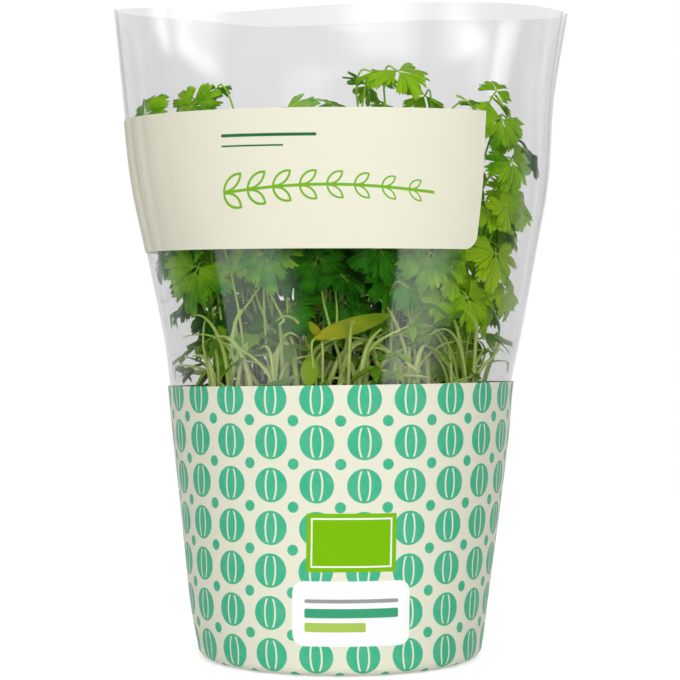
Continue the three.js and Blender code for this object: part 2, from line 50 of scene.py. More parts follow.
# ---- camera, light and floor ----
CAMERA_PLACE = (0.0, -817.0, 133.0)
CAMERA_DOWN = 0.93  # degrees below the horizon
CAMERA_LENS = 113.8
CAMERA_SENSOR = 36
FILL = 0.34  # the world's brightness on matte things
FLOOR_RADIUS = 1.6
FLOOR_FADE = (0.22, 0.8)  # where the floor starts to fade into white, and where it has gone
FLOOR_GLOW = 0.55
LIT_PLACE = Vector((0, 0, 0.13))  # what the panels face
# Light panels: degrees from the camera's side, distance, width, height, height of the middle, brightness.
LAMPS = [
    ("lamp_left", -26, 1.35, 0.8, 1.2, 0.75, 0.85),
    ("lamp_right", 8, 1.35, 0.8, 1.2, 0.75, 2.15),
    ("lamp_front", 0, 1.5, 1.0, 0.5, 0.27, 4.7),
    ("lamp_back", 180, 1.6, 1.6, 1.0, 0.9, 2.0),
    ("lamp_top", 0, 0.35, 0.9, 0.7, 1.35, 1.5),
]
# Panels that only glossy things mirror: the same, with the shares of their width and height over which
# they fade at the left, the right, and above and below.
PANELS = [
    ("panel_left", -47, 1.3, 1.38, 0.8, -0.14, 1.5, (0.03, 0.3, 0.3)),
    ("panel_right", 49, 1.3, 1.1, 0.8, -0.14, 1.8, (0.03, 0.5, 0.3)),
    ("glint_front", 15, 1.3, 1.1, 0.36, 0.60, 2.5, (0.4, 0.4, 0.5)),
    ("glint_low", -12, 1.3, 0.80, 0.12, 0.41, 1.8, (0.5, 0.5, 0.5)),
    ("glint_right", 72, 1.3, 2.0, 0.30, 0.60, 7.5, (0.5, 0.5, 0.5)),
    ("glint_left", -64, 1.3, 0.7, 0.34, 0.52, 5.0, (0.5, 0.5, 0.5)),
    ("glint_far_left", -85, 1.3, 0.6, 0.34, 0.50, 5.5, (0.5, 0.5, 0.5)),
]

# ---- the sleeve: the same driving values as its solids ----
# The outer face: height, half-width, half-depth, sideways lean of the middle.
SLEEVE = [
    (5, 54.2, 54.2, 0),
    (20, 56.4, 56.4, -0.4),
    (50, 59.9, 59.9, 0),
    (82, 63.5, 63.5, 0.3),
    (104, 65.6, 65.6, 0.2),
    (120, 68.3, 66.8, 0.9),
    (150, 73.9, 68.8, 0.6),
    (180, 79.3, 69.2, 0),
    (211, 82.1, 68, -0.7),
    (244, 86.4, 66, 0.1),
]
# The mouth: its height at angles from the front, positive towards +X.
MOUTH = [
    (-180, 248), (-158, 246.5), (-137, 247.3), (-90, 244.3), (-48, 239.4), (-30, 236.3),
    (1, 237.8), (25, 239.4), (51, 241.3), (90, 243), (134, 247), (155, 248.8),
]
WAVE = 0.8  # how far the sleeve waves in and out at its mouth
WAVE_FOOT = 106  # the waves start here
WAVE_RISE = 138  # and are full so much higher
FILM_FOOT = 96
WRAP_TOP = 103.2
WRAP_TILT = (1.8, 0.9)
WRAP_START = 7  # the lowest row of the wrap's wall, over its heel
HEEL = 4.2
HEEL_HALF_WIDTH = 54
HEM = 47.2
HEM_LIFT = 0.35
LABEL_Z = (152.8, 202)
LABEL_ARC = (-126, 40)
LABEL_CORNER = 5

# ---- what its sheets show and the solids don't ----
SHEET = 0.16  # thickness that the sleeve's layers show
FILM_DEPTH = 0.95  # how far the film's outer face lies inside the sleeve's
WRAP_DEPTH = 0.1
BAND_DEPTH = 0.45
COLUMN = 2.0  # degrees between the columns of the sleeve's meshes
FILM_ROWS = 46
WRAP_ROWS = 30
BAND_ROWS = 26
CRIMP = 0.06  # half the depth of the folds at the heel
CRIMPS = 46  # how many of them go round
WELD_WIDTH = 1.3  # degrees
FILM_WELD = 0.3  # how far the side welds stand out
WRAP_WELD = 0.35
FOLD_MIDDLE = 78  # the film's upright folds are about here, in degrees from the front to either side
FOLD_SPREAD = 15
FOLDS = [(0.62, 38, 0.008), (0.24, 77, 0)]  # height, how many would go round, slant
SLACK_FOOT = 112  # the film is slack from here
SLACK_RISE = 60
# Single puckers of the film and the band: degrees, height, width in degrees, swell.
PUCKERS = [(-45, 222, 10, 0.9), (-30, 212, 10, 0.9), (12, 218, 16, 0.7), (42, 214, 18, 1.3)]
PUCKER_TALL = 14

# ---- the soil and the foliage ----
SOIL_EDGE = 98
SOIL_CROWN = 107
SOIL_BUMP = 1.3
SOIL_RADIUS = 61.4
SOIL_TOP = 104  # where the stems come out, about
SOIL_RINGS = 40
SOIL_COLUMNS = 150
CRUMBS = 520
ROOTED = 2  # how far a stem goes on under the soil's face

SEED = 5
LEAF_SPAN = 63  # half the angle of a leaflet's fan, degrees
FINE = (62, 4)  # how many steps across and outwards a leaflet's mesh has
PLAIN = (48, 3)  # the same further in
LEAF_THICK = 0.3
DROOP = 0.3
LEAFLETS = [(0, 1.06, 0.12), (82, 0.98, 0.07), (-82, 0.98, 0.07)]  # turn, size, base from the middle
FILM_CLEAR = 2.6  # from the sleeve's outer face to the nearest leaf
INNER_LEAVES = 54  # in each of two pieces
STRAYS = 150
BARE_SPOT = Vector((2, -60, 127))  # by the long yellow leaf, where no stray bears its seed leaves
BARE_RADIUS = 17
# Where strays stand in clumps: to the right, to the back.
CLUMPS = [
    (-22, -46), (4, -49), (26, -46), (45, -35), (-42, -36),
    (-8, -40), (14, -40), (-30, 44), (24, 46), (50, 18),
]
# Leaves that show through the film: place, degrees that the face turns from the front and tilts from
# straight up, degrees that the tip turns from straight down, size, tone with painted light and shade.
CHOSEN_LEAVES = [
    (59, -32, 201, 30, 70, -20, 12, 1.3),
    (63, -28, 186, 38, 75, 15, 13, 0.9),
    (70, -10, 191, 60, 60, 30, 11, -1.0),
    (60, -36, 169, 35, 65, -10, 9, 1.7),
    (57, -33, 211, 20, 60, 150, 7, 1.0),
    (57, -32, 152, 35, 78, -15, 14, 2.6),
    (61, -22, 139, 50, 75, 10, 12, 2.6),
    (46, -40, 136, 25, 70, 20, 12, 1.8),
    (-52, -32, 147, -25, 80, -25, 18, 0.6),
    (-64, -16, 153, -50, 70, -20, 12, 0.1),
    (-47, -24, 130, -30, 80, 10, 15, -0.6),
    (-72, -24, 203, -40, 72, 160, 10, 0.8),
    (-54, -38, 205, -20, 68, 140, 12, 0.6),
    (-26, -54, 152, -15, 72, 10, 15, 0.4),
    (-8, -50, 150, 0, 75, -15, 13, -0.5),
    (14, -52, 154, 10, 72, 20, 14, -0.2),
    (32, -50, 152, 20, 74, -20, 16, 0.5),
    (2, -44, 134, 0, 45, 30, 12, -0.4),
]
# The same for smooth ones: place of the base, turns, length, half-width as a share of it, tone with painted
# light and shade, yellowing.
CHOSEN_SEED_LEAVES = [
    (-9, -60, 121, 5, 66, 114, 30, 0.092, 0.9, 0.7),
    (-7, -58, 122, -15, 55, 215, 7.5, 0.19, 1.0, 1.0),
    (-11, -57.5, 104, -5, 80, 176, 12, 0.24, 1.0, 0.15),
]

UP = np.array([0, 0, 1.0])


def rad(degrees):
    return math.radians(degrees)


def lerp(a, b, t):
    return a + (b - a) * t


def clamp(value):
    return min(max(value, 0), 1)


def unit(v):
    v = np.asarray(v, float)
    return v / np.linalg.norm(v)


def around(degrees):
    """Outwards and sideways, at degrees from the front."""
    c, s = math.cos(rad(degrees)), math.sin(rad(degrees))
    return np.array([s, -c, 0]), np.array([c, s, 0])


def station(table, key, column):
    """A value between the rows of a table of (key, values...), eased with a cubic."""
    i = 1
    while i < len(table) - 1 and table[i][0] < key:
        i += 1
    p, q = table[i - 1], table[i]
    before = table[max(i - 2, 0)]
    after = table[min(i + 1, len(table) - 1)]
    span = q[0] - p[0]
    slope_p = (q[column] - before[column]) / (q[0] - before[0]) * span
    slope_q = (after[column] - p[column]) / (after[0] - p[0]) * span
    t = clamp((key - p[0]) / span)
    s = 1 - t
    at_p = p[column] * (1 + 2 * t) + slope_p * t
    at_q = q[column] * (3 - 2 * t) - slope_q * s
    return at_p * s * s + at_q * t * t


MOUTH_ROUND = [(a + turn, z) for turn in (-360, 0, 360) for a, z in MOUTH]


def wave(a, z, rise, cos):
    """How far the sleeve waves outwards at an angle and a height. rise goes from 0 to 1 at the mouth."""
    return WAVE * rise * (cos(4 * a + 1.1 + 0.016 * z) + 0.6 * cos(7 * a - 0.02 * z))


def on_sleeve(degrees, z, out):
    """A point on the sleeve: degrees from the front, height, and how far outside its outer face."""
    a = rad(degrees)
    waved = wave(a, z, clamp((z - WAVE_FOOT) / WAVE_RISE), math.cos)
    half_width = station(SLEEVE, z, 1) + waved + out
    half_depth = station(SLEEVE, z, 2) + waved + out
    return (station(SLEEVE, z, 3) + half_width * math.sin(a), -half_depth * math.cos(a), z)


LEVELS = np.arange(95, 252, 1.0)  # heights at which the foliage reads the sleeve
LEVEL_WIDTH, LEVEL_DEPTH, LEVEL_LEAN = (
    np.array([station(SLEEVE, z, column) for z in LEVELS]) for column in (1, 2, 3)
)


# ---- meshes ----
def add_object(name, data):
    made = bpy.data.objects.new(name, data)
    bpy.context.scene.collection.objects.link(made)
    return made


class Build:
    """Gathers points and faces of one piece, with what its materials read at each point."""

    def __init__(self):
        self.points = []
        self.look = []
        self.tint = []
        self.faces = []
        self.slots = []
        self.count = 0

    def add(self, points, faces, look, tint, slot=0):
        points = np.asarray(points, float)
        self.points.append(points)
        self.look.append(np.broadcast_to(look, points.shape))
        self.tint.append(np.broadcast_to(tint, points.shape))
        for block in faces:
            block = np.asarray(block, int)
            self.faces.append(block + self.count)
            self.slots.append(np.full(len(block), slot))
        self.count += len(points)

    def piece(self, name, materials, sharp):
        """The object. Edges that turn by more than sharp degrees stay sharp."""
        mesh = bpy.data.meshes.new(name)
        points = np.concatenate(self.points) * MM
        sizes = np.concatenate([np.full(len(b), b.shape[1]) for b in self.faces])
        corners = np.concatenate([b.ravel() for b in self.faces])
        mesh.vertices.add(len(points))
        mesh.vertices.foreach_set("co", points.astype(np.float32).ravel())
        mesh.loops.add(len(corners))
        mesh.loops.foreach_set("vertex_index", corners.astype(np.int32))
        mesh.polygons.add(len(sizes))
        starts = np.concatenate([[0], np.cumsum(sizes)[:-1]])
        mesh.polygons.foreach_set("loop_start", starts.astype(np.int32))
        mesh.polygons.foreach_set("material_index", np.concatenate(self.slots).astype(np.int32))
        mesh.polygons.foreach_set("use_smooth", np.ones(len(sizes), bool))
        for label, values in (("look", self.look), ("tint", self.tint)):
            attribute = mesh.attributes.new(label, "FLOAT_VECTOR", "POINT")
            attribute.data.foreach_set("vector", np.concatenate(values).astype(np.float32).ravel())
        mesh.update(calc_edges=True)
        mesh.validate()
        mesh.set_sharp_from_angle(angle=rad(sharp))
        for material in materials:
            mesh.materials.append(material)
        return add_object(name, mesh)


def grid_faces(columns, rows, columns_close, rows_close):
    """Quads of a grid stored column by column. Where it closes, the last line is joined to the first."""
    i = np.arange(columns if columns_close else columns - 1)[:, None]
    k = np.arange(rows if rows_close else rows - 1)[None, :]
    here = i * rows
    beside = (i + 1) % columns * rows
    up = (k + 1) % rows
    return np.stack([here + k, beside + k, beside + up, here + up], -1).reshape(-1, 4)


# ---- materials ----
INK_EDGE = 0.12  # half the width over which printed ink ends, mm


class Shader:
    """A few short calls to write the nodes of a material, of the world or of a light."""

    def __init__(self, owner):
        self.owner = owner
        owner.use_nodes = True
        self.tree = owner.node_tree
        self.tree.nodes.clear()

    def node(self, kind, inputs=None, **settings):
        """Adds a node and gives its outputs."""
        made = self.tree.nodes.new("ShaderNode" + kind)
        for key, value in settings.items():
            setattr(made, key, value)
        for key, value in (inputs or {}).items():
            self.feed(made.inputs[key], value)
        return made.outputs

    def feed(self, socket, value):
        if isinstance(value, bpy.types.NodeSocket):
            self.tree.links.new(value, socket)
        elif socket.type == "RGBA":
            socket.default_value = (*value, 1)
        else:
            socket.default_value = value

    def math(self, operation, a, b=0.0, c=0.0):
        return self.node("Math", {0: a, 1: b, 2: c}, operation=operation)[0]

    def times(self, a, b):
        return self.math("MULTIPLY", a, b)

    def plus(self, a, b):
        return self.math("ADD", a, b)

    def minus(self, a, b):
        return self.math("SUBTRACT", a, b)

    def abs(self, value):
        return self.math("ABSOLUTE", value)

    def far(self, x, y):
        """How far (x, y) is from (0, 0)."""
        return self.math("SQRT", self.plus(self.times(x, x), self.times(y, y)))

    def saw(self, value):
        """From -0.5 to 0.5 over each whole step of a value."""
        return self.minus(self.math("FRACT", value), 0.5)

    def cell(self, value, size):
        """How far a value is from the middle of its cell, in a row of cells."""
        return self.times(self.saw(self.math("DIVIDE", value, size)), size)

    def step(self, value, low, high):
        """0 below low, 1 above high, eased between; the other way round if low is the larger."""
        ends = {"Value": value, "From Min": low, "From Max": high}
        return self.node("MapRange", ends, interpolation_type="SMOOTHSTEP")[0]

    def span(self, value, low, high, to_low, to_high):
        ends = {"Value": value, "From Min": low, "From Max": high, "To Min": to_low, "To Max": to_high}
        return self.node("MapRange", ends)[0]

    def vary(self, grain, low, high):
        """From low to high over the range that a noise mostly has."""
        return self.span(grain, 0.3, 0.7, low, high)

    def mix(self, share, a, b):
        return self.node("Mix", {0: share, 6: a, 7: b}, data_type="RGBA")[2]

    def stamp(self, distance, colour, ink):
        """Ink over a colour, where the distance outside a shape is below 0."""
        return self.mix(self.step(distance, INK_EDGE, -INK_EDGE), colour, ink)

    def disc(self, distance, radius):
        return self.step(distance, radius + INK_EDGE, radius - INK_EDGE)

    def noise(self, scale, detail=3.0, roughness=0.55, stretch=None):
        place = self.node("TexCoord")["Object"]
        if stretch:
            place = self.node("Mapping", {"Vector": place, "Scale": stretch})[0]
        inputs = {"Vector": place, "Scale": scale, "Detail": detail, "Roughness": roughness}
        return self.node("TexNoise", inputs)[0]

    def split(self, attribute):
        return self.node("SeparateXYZ", {0: self.node("Attribute", attribute_name=attribute)["Vector"]})

    def bump(self, height, distance, strength):
        return self.node("Bump", {"Height": height, "Distance": distance, "Strength": strength})[0]

    def skin(self, colour, rough, normal, gloss):
        inputs = {"Base Color": colour, "Roughness": rough, "Normal": normal, "Specular IOR Level": gloss}
        return self.node("BsdfPrincipled", inputs)[0]

    def blend(self, share, a, b):
        return self.node("MixShader", {0: share, 1: a, 2: b})[0]

    def finish(self, surface, output="OutputMaterial"):
        self.node(output, {"Surface": surface})
        return self.owner

    def finish_thin(self, share, skin, **through):
        """Ends the material of something thin, which lets a share of the light through."""
        return self.finish(self.blend(share, skin, self.node("BsdfTranslucent", through)[0]))


def new_material(name):
    return Shader(bpy.data.materials.new(name))


def srgb(r, g, b):
    """A colour given as a screen shows it, from 0 to 255, in linear light."""
    return tuple((c / 255 / 12.92) if c <= 10 else ((c / 255 + 0.055) / 1.055) ** 2.4 for c in (r, g, b))


CREAM = srgb(241, 239, 219)
WRAP_CREAM = srgb(229, 228, 208)
TEAL = srgb(58, 180, 138)
LIME = srgb(122, 186, 0)
DARK_GREEN = srgb(10, 110, 60)


def film_material():
    """Clear film: it mirrors like thin plastic and dims what is behind it; its welds are milky."""
    s = new_material("clear_film")
    look = s.split("look")  # y is the height in mm, z is 1 on a weld
    streaks = s.noise(1.0, 2.0, 0.5, stretch=(420, 420, 14))
    haze = s.noise(34, 3.0, 0.6)
    slant = s.node("LayerWeight", {"Blend": 0.5})["Facing"]
    # painted shade: the film dims what is behind it more towards its foot, by 0.045 at 100 mm and none at 235
    # mm
    painted_low_shade = s.span(look[1], 100, 235, 0.045, 0.0)
    tone = s.minus(s.vary(haze, 0.962, 0.974), s.math("MULTIPLY_ADD", slant, 0.08, painted_low_shade))
    grey = s.node("CombineColor", {0: tone, 1: tone, 2: tone})[0]
    clear = s.node("BsdfTransparent", {"Color": grey})[0]
    milk = s.node("BsdfDiffuse", {"Color": (0.82, 0.82, 0.83)})[0]
    cloudy = s.plus(s.span(streaks, 0.55, 0.85, 0.0, 0.012), s.times(look[2], 0.16))
    normal = s.bump(s.noise(1.0, 1.0, 0.4, stretch=(45, 45, 12)), 0.00004, 0.5)
    gloss = s.node("BsdfGlossy", {"Color": (1, 1, 1), "Roughness": 0.08, "Normal": normal})[0]
    mirror = s.math("MULTIPLY_ADD", s.math("POWER", slant, 5.0), 0.5, 0.035)
    return s.finish(s.blend(mirror, s.blend(cloudy, clear, milk), gloss))


def rounded_box(s, u, v, middle, half, corner):
    """Distance outside a rounded box, in mm."""
    x = s.minus(s.abs(s.minus(u, middle[0])), half[0] - corner)
    y = s.minus(s.abs(s.minus(v, middle[1])), half[1] - corner)
    outside = s.far(s.math("MAXIMUM", x, 0.0), s.math("MAXIMUM", y, 0.0))
    inside = s.math("MINIMUM", s.math("MAXIMUM", x, y), 0.0)
    return s.minus(s.plus(outside, inside), corner)


SEED_CELL = (17.0, 15.4)  # the print's lattice of ribbed seeds, mm
SEED_RADIUS = 6.2
SEED_STRIPS = 3  # its ribs cut a seed into so many
RIB_EDGE = (0.62, 0.42)
RIB_END = (SEED_RADIUS - 0.7, SEED_RADIUS - 1.0)
DOT_RADIUS = 2.0
# The boxes over the lattice: middle, half-size, radius of the corners.
GREEN_FRAME = ((4.2, 49), (16.2, 10.5), 0.3)
FRAME_INSET = 1.9
FRAME_LINE = (0.38, 0.2)
WHITE_PANEL = ((4.6, 23.4), (21.5, 11.8), 4.2)
PANEL_BARS = [
    ((4.6, 28.0), (17.0, 0.7), srgb(150, 156, 150)),
    ((4.6, 23.6), (17.0, 1.7), srgb(60, 160, 120)),
    ((-1.4, 18.5), (11.0, 1.7), srgb(170, 200, 90)),
]
BAR_CORNER = 0.65


def wrap_material():
    """Cream sheet with rows of ribbed seeds, dots between them, and two plain boxes on the front."""
    s = new_material("printed_wrap")
    look = s.split("look")  # x and y run along the flat sheet in mm, z is 1 on the back
    u, v = look[0], look[1]
    x = s.cell(u, SEED_CELL[0])
    y = s.cell(v, SEED_CELL[1])
    far = s.far(x, y)
    room = s.minus(SEED_RADIUS ** 2, s.times(y, y))
    waist = s.math("SQRT", s.math("MAXIMUM", room, 0.04))  # half a seed's width at this height
    from_rib = s.times(s.abs(s.saw(s.times(s.math("DIVIDE", x, waist), SEED_STRIPS / 2))), waist)
    rib = s.times(s.step(from_rib, *RIB_EDGE), s.step(far, *RIB_END))
    corner = s.far(s.minus(s.abs(x), SEED_CELL[0] / 2), s.minus(s.abs(y), SEED_CELL[1] / 2))
    seeds = s.times(s.disc(far, SEED_RADIUS), s.minus(1.0, rib))
    ink = s.math("MAXIMUM", seeds, s.disc(corner, DOT_RADIUS))
    wear = s.noise(260, 2.0, 0.6)
    colour = s.mix(s.times(ink, s.vary(wear, 0.94, 1.0)), WRAP_CREAM, TEAL)
    u = s.plus(u, s.times(look[2], 1000.0))  # the boxes are on the front alone
    box = rounded_box(s, u, v, *GREEN_FRAME)
    colour = s.stamp(box, colour, LIME)
    rim = s.step(s.abs(s.plus(box, FRAME_INSET)), *FRAME_LINE)
    colour = s.mix(rim, colour, srgb(250, 250, 245))
    colour = s.stamp(rounded_box(s, u, v, *WHITE_PANEL), colour, srgb(250, 250, 250))
    for middle, half, bar_colour in PANEL_BARS:
        colour = s.stamp(rounded_box(s, u, v, middle, half, BAR_CORNER), colour, bar_colour)
    rough = s.vary(s.noise(90, 3.0, 0.6), 0.34, 0.44)
    normal = s.bump(s.noise(1.0, stretch=(26, 26, 9)), 0.0012, 0.35)
    return s.finish(s.skin(colour, rough, normal, 0.12))


# The sprig on the band, mm.
SPRIG_START = -44.0
SPRIG_HEIGHT = 172.5
SPRIG_LENGTH = 78.0
SPRIG_BOW = 2.6
SPRIG_STEM = (0.62, 0.42)  # where its stem ends, from the middle
SPRIG_PAIRS = 8
SPRIG_TIP = 0.55  # size of the last pair of leaves, as a share of the first
SPRIG_SPLAY = rad(38)
SPRIG_LEAF = 10.5  # a leaf is where two discs overlap: its length
SPRIG_DISC = 6.9  # and the radius of the discs
BAND_RULES = [((-26.0, 192.6), (18.0, 0.55), 0.4), ((-32.0, 188.9), (12.0, 0.3), 0.2)]


def band_material():
    """Cream sheet with two rules and a sprig, whose leaves are outlines and get smaller."""
    s = new_material("cream_band")
    look = s.split("look")  # x and y run along the flat sheet in mm
    u, v = look[0], look[1]
    along = s.minus(u, SPRIG_START)
    bend = s.times(s.math("SINE", s.times(along, math.pi / SPRIG_LENGTH)), SPRIG_BOW)
    off = s.abs(s.minus(s.minus(v, SPRIG_HEIGHT), bend))
    inside = s.times(s.step(along, 0.0, 0.3), s.step(along, SPRIG_LENGTH, SPRIG_LENGTH - 0.3))
    cell = SPRIG_LENGTH / SPRIG_PAIRS
    place = s.times(s.math("FRACT", s.math("DIVIDE", along, cell)), cell)
    shrink = s.span(along, 0.0, SPRIG_LENGTH, 1.0, SPRIG_TIP)
    x = s.math("DIVIDE", place, shrink)
    y = s.math("DIVIDE", off, shrink)
    ahead = s.plus(s.times(x, math.cos(SPRIG_SPLAY)), s.times(y, math.sin(SPRIG_SPLAY)))
    aside = s.minus(s.times(y, math.cos(SPRIG_SPLAY)), s.times(x, math.sin(SPRIG_SPLAY)))
    offset = math.sqrt(SPRIG_DISC ** 2 - (SPRIG_LEAF / 2) ** 2)
    lens = s.minus(s.far(s.minus(ahead, SPRIG_LEAF / 2), s.plus(s.abs(aside), offset)), SPRIG_DISC)
    outline = s.step(s.abs(s.plus(lens, 0.45)), 0.55, 0.38)
    leaves = s.times(outline, s.times(inside, s.step(ahead, 0.2, 0.6)))
    ink = s.math("MAXIMUM", s.times(s.step(off, *SPRIG_STEM), inside), leaves)
    colour = s.mix(ink, CREAM, LIME)
    for rule in BAND_RULES:
        colour = s.stamp(rounded_box(s, u, v, *rule), colour, DARK_GREEN)
    tone = s.noise(14, 3.0, 0.5)
    colour = s.mix(s.span(tone, 0.35, 0.65, 0.0, 0.05), colour, srgb(214, 212, 190))
    normal = s.bump(s.noise(1.0, stretch=(24, 24, 10)), 0.0012, 0.3)
    skin = s.skin(colour, s.vary(tone, 0.36, 0.46), normal, 0.25)
    return s.finish_thin(0.15, skin, Color=colour)


def leaf_material():
    s = new_material("coriander_leaf")
    look = s.split("look")  # across -1..1, from base to edge 0..1, 1 underneath
    tint = s.split("tint")  # tone -1..3 with painted light and shade, yellowing 0..1, 1 on a seed leaf
    to_vein = s.minus(0.5, s.abs(s.saw(s.times(look[0], 3.5))))
    near = s.times(to_vein, look[1])
    side = s.abs(s.saw(s.minus(s.times(look[1], 8.0), s.times(to_vein, 4.2))))
    branch = s.times(s.step(side, 0.09, 0.02), s.step(look[1], 0.12, 0.3))
    vein = s.math("MAXIMUM", s.step(near, 0.06, 0.015), s.times(branch, 0.45))
    vein = s.times(vein, s.minus(1.0, s.times(tint[2], 0.55)))
    mottle = s.noise(160, 4.0, 0.6)
    large = s.noise(38, 2.0, 0.5)
    # painted light and shade: the tone takes a leaf from dark green in shade to pale green in light
    share = s.plus(s.span(tint[0], -1.0, 1.0, 0.05, 0.92), s.vary(mottle, -0.18, 0.18))
    share = s.plus(share, s.vary(large, -0.24, 0.24))
    share = s.math("MINIMUM", s.math("MAXIMUM", share, 0.0), 1.0)
    colour = s.mix(s.step(share, 0, 0.5), srgb(2, 88, 0), srgb(62, 168, 6))
    colour = s.mix(s.step(share, 0.5, 1), colour, srgb(182, 240, 26))
    # painted highlight: a tone past 1 turns the leaf pale lime, as if in full light
    colour = s.mix(s.span(tint[0], 1.0, 3.0, 0.0, 0.8), colour, srgb(214, 255, 34))
    colour = s.mix(s.times(vein, s.span(share, 0, 1, 0.15, 0.4)), colour, srgb(176, 218, 84))
    colour = s.mix(s.times(look[2], 0.3), colour, srgb(122, 166, 70))
    aged = s.abs(s.minus(look[1], tint[2]))  # a seed leaf yellows from its base
    old = s.times(tint[1], s.span(s.plus(aged, mottle), 0.5, 1.5, 0.15, 1.0))
    colour = s.mix(old, colour, srgb(252, 206, 30))
    colour = s.mix(s.times(tint[2], 0.4), colour, srgb(168, 200, 60))
    pleats = s.times(near, s.minus(1.0, tint[2]))
    relief = s.plus(s.times(pleats, 1.2), s.times(mottle, 1.4))
    normal = s.bump(s.minus(relief, s.times(vein, 0.5)), 0.0009, 0.7)
    skin = s.skin(colour, s.vary(mottle, 0.4, 0.56), normal, 0.3)
    # the light let through follows the same share, painted light and shade included
    glow = s.mix(s.span(share, 0, 1, 0.1, 0.45), colour, srgb(140, 222, 0))
    return s.finish_thin(0.34, skin, Color=glow, Normal=normal)


def stem_material():
    s = new_material("coriander_stem")
    look = s.split("look")  # x is the height over the soil in mm
    tint = s.split("tint")  # x is the tone, -1..1; a leaflet's stalk takes its leaf's tone, with its painted light and shade
    streak = s.noise(1.0, 3.0, 0.6, stretch=(900, 900, 60))
    colour = s.mix(s.step(look[0], 4.0, 46.0), srgb(240, 255, 156), srgb(188, 240, 70))
    colour = s.mix(s.span(streak, 0.35, 0.7, 0.0, 0.3), colour, srgb(150, 196, 70))
    colour = s.mix(s.span(tint[0], -1.0, 1.0, 0.5, 0.0), colour, srgb(96, 152, 34))
    skin = s.skin(colour, s.vary(streak, 0.38, 0.5), s.bump(streak, 0.0002, 0.5), 0.4)
    return s.finish_thin(0.25, skin, Color=s.mix(0.4, colour, srgb(214, 240, 110)))


def soil_material():
    s = new_material("potting_soil")
    tint = s.split("tint")  # x picks the crumbs that are bark
    grain = s.noise(420, 5.0, 0.7)
    patch = s.noise(55, 3.0, 0.6)
    colour = s.mix(s.step(grain, 0.35, 0.7), srgb(22, 15, 10), srgb(66, 46, 30))
    colour = s.mix(s.span(patch, 0.4, 0.65, 0.0, 0.5), colour, srgb(38, 26, 17))
    colour = s.mix(s.step(tint[0], 0.80, 0.86), colour, srgb(116, 84, 54))
    return s.finish(s.skin(colour, s.vary(grain, 0.85, 0.98), s.bump(grain, 0.0009, 0.9), 0.25))


def pot_material():
    s = new_material("moulded_pot")
    grain = s.noise(300, 3.0, 0.6)
    flow = s.noise(22, 2.0, 0.5)
    colour = s.mix(s.vary(flow, 0.0, 1.0), srgb(30, 31, 33), srgb(44, 45, 47))
    return s.finish(s.skin(colour, s.vary(grain, 0.42, 0.58), s.bump(grain, 0.0001, 0.4), 0.5))


# ---- the sleeve ----
def sleeve_noise(a, fine, z):
    """A smooth noise about 0 that goes round the sleeve without a seam. fine sets how small its waves are."""
    return noise.noise(Vector((fine * math.sin(a), fine * math.cos(a), z)))


def ripple(degrees, z):
    """The clear film's small waves: upright folds beside the welds, slack ones near the mouth, puckers."""
    a = rad(degrees)
    beside = math.exp(-((abs(degrees) - FOLD_MIDDLE) / FOLD_SPREAD) ** 2)
    rise = clamp((z - SLACK_FOOT) / SLACK_RISE)
    upright = sum(high * beside * math.sin(count * a + slant * z) for high, count, slant in FOLDS)
    slack = sleeve_noise(a, 2.2, z / 70) * 0.35
    fine = sleeve_noise(a, 7, z / 34 + 5) * 0.16
    puckers = sum(swell * math.exp(-((degrees - turn) / wide) ** 2 - ((z - high) / PUCKER_TALL) ** 2)
                  for turn, high, wide, swell in PUCKERS)
    return (upright + slack * rise + fine) * rise + puckers


def weld(degrees):
    """1 on the two upright welds that close the sleeve at its sides."""
    return math.exp(-((abs(degrees) - 90) / WELD_WIDTH) ** 2)


def sheet(build, outer, inner, look, closed):
    """A thin closed sheet from the columns of its outer and of its inner face."""
    outer, inner, look = (np.asarray(a, float) for a in (outer, inner, look))
    columns, rows = outer.shape[:2]
    faces = [grid_faces(columns, 2 * rows, closed, True)]
    if not closed:
        k = np.arange(rows - 1)
        start = np.stack([k, 2 * rows - 1 - k, 2 * rows - 2 - k, k + 1], -1)
        faces += [start, start[:, ::-1] + (columns - 1) * 2 * rows]
    points = np.concatenate([outer, inner[:, ::-1]], 1)
    print_at = np.concatenate([look, look[:, ::-1]], 1)
    build.add(points.reshape(-1, 3), faces, print_at.reshape(-1, 3), (0, 0, 0))


def film_piece():
    near_weld = [s * (90 + d) for s in (-1, 1) for d in (-1.6, -1.0, -0.5, 0, 0.5, 1.0, 1.6)]
    angles = sorted({*np.arange(-180, 180, COLUMN).tolist(), *near_weld})
    outer, inner, look = [], [], []
    for degrees in angles:
        mouth = station(MOUTH_ROUND, degrees, 1)
        heights = [lerp(FILM_FOOT, mouth, k / (FILM_ROWS - 1)) for k in range(FILM_ROWS)]
        waves = [ripple(degrees, z) if z > WRAP_TOP + 3 else 0 for z in heights]
        bead = FILM_WELD * weld(degrees)
        outer.append([on_sleeve(degrees, z, w + bead - FILM_DEPTH) for z, w in zip(heights, waves)])
        inner.append([on_sleeve(degrees, z, w - SHEET - FILM_DEPTH) for z, w in zip(heights, waves)])
        look.append([(0, z, weld(degrees)) for z in heights])
    build = Build()
    sheet(build, outer, inner, look, True)
    piece = build.piece("film_sleeve", [film_material()], 60)
    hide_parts("sleeve_film")
    return piece


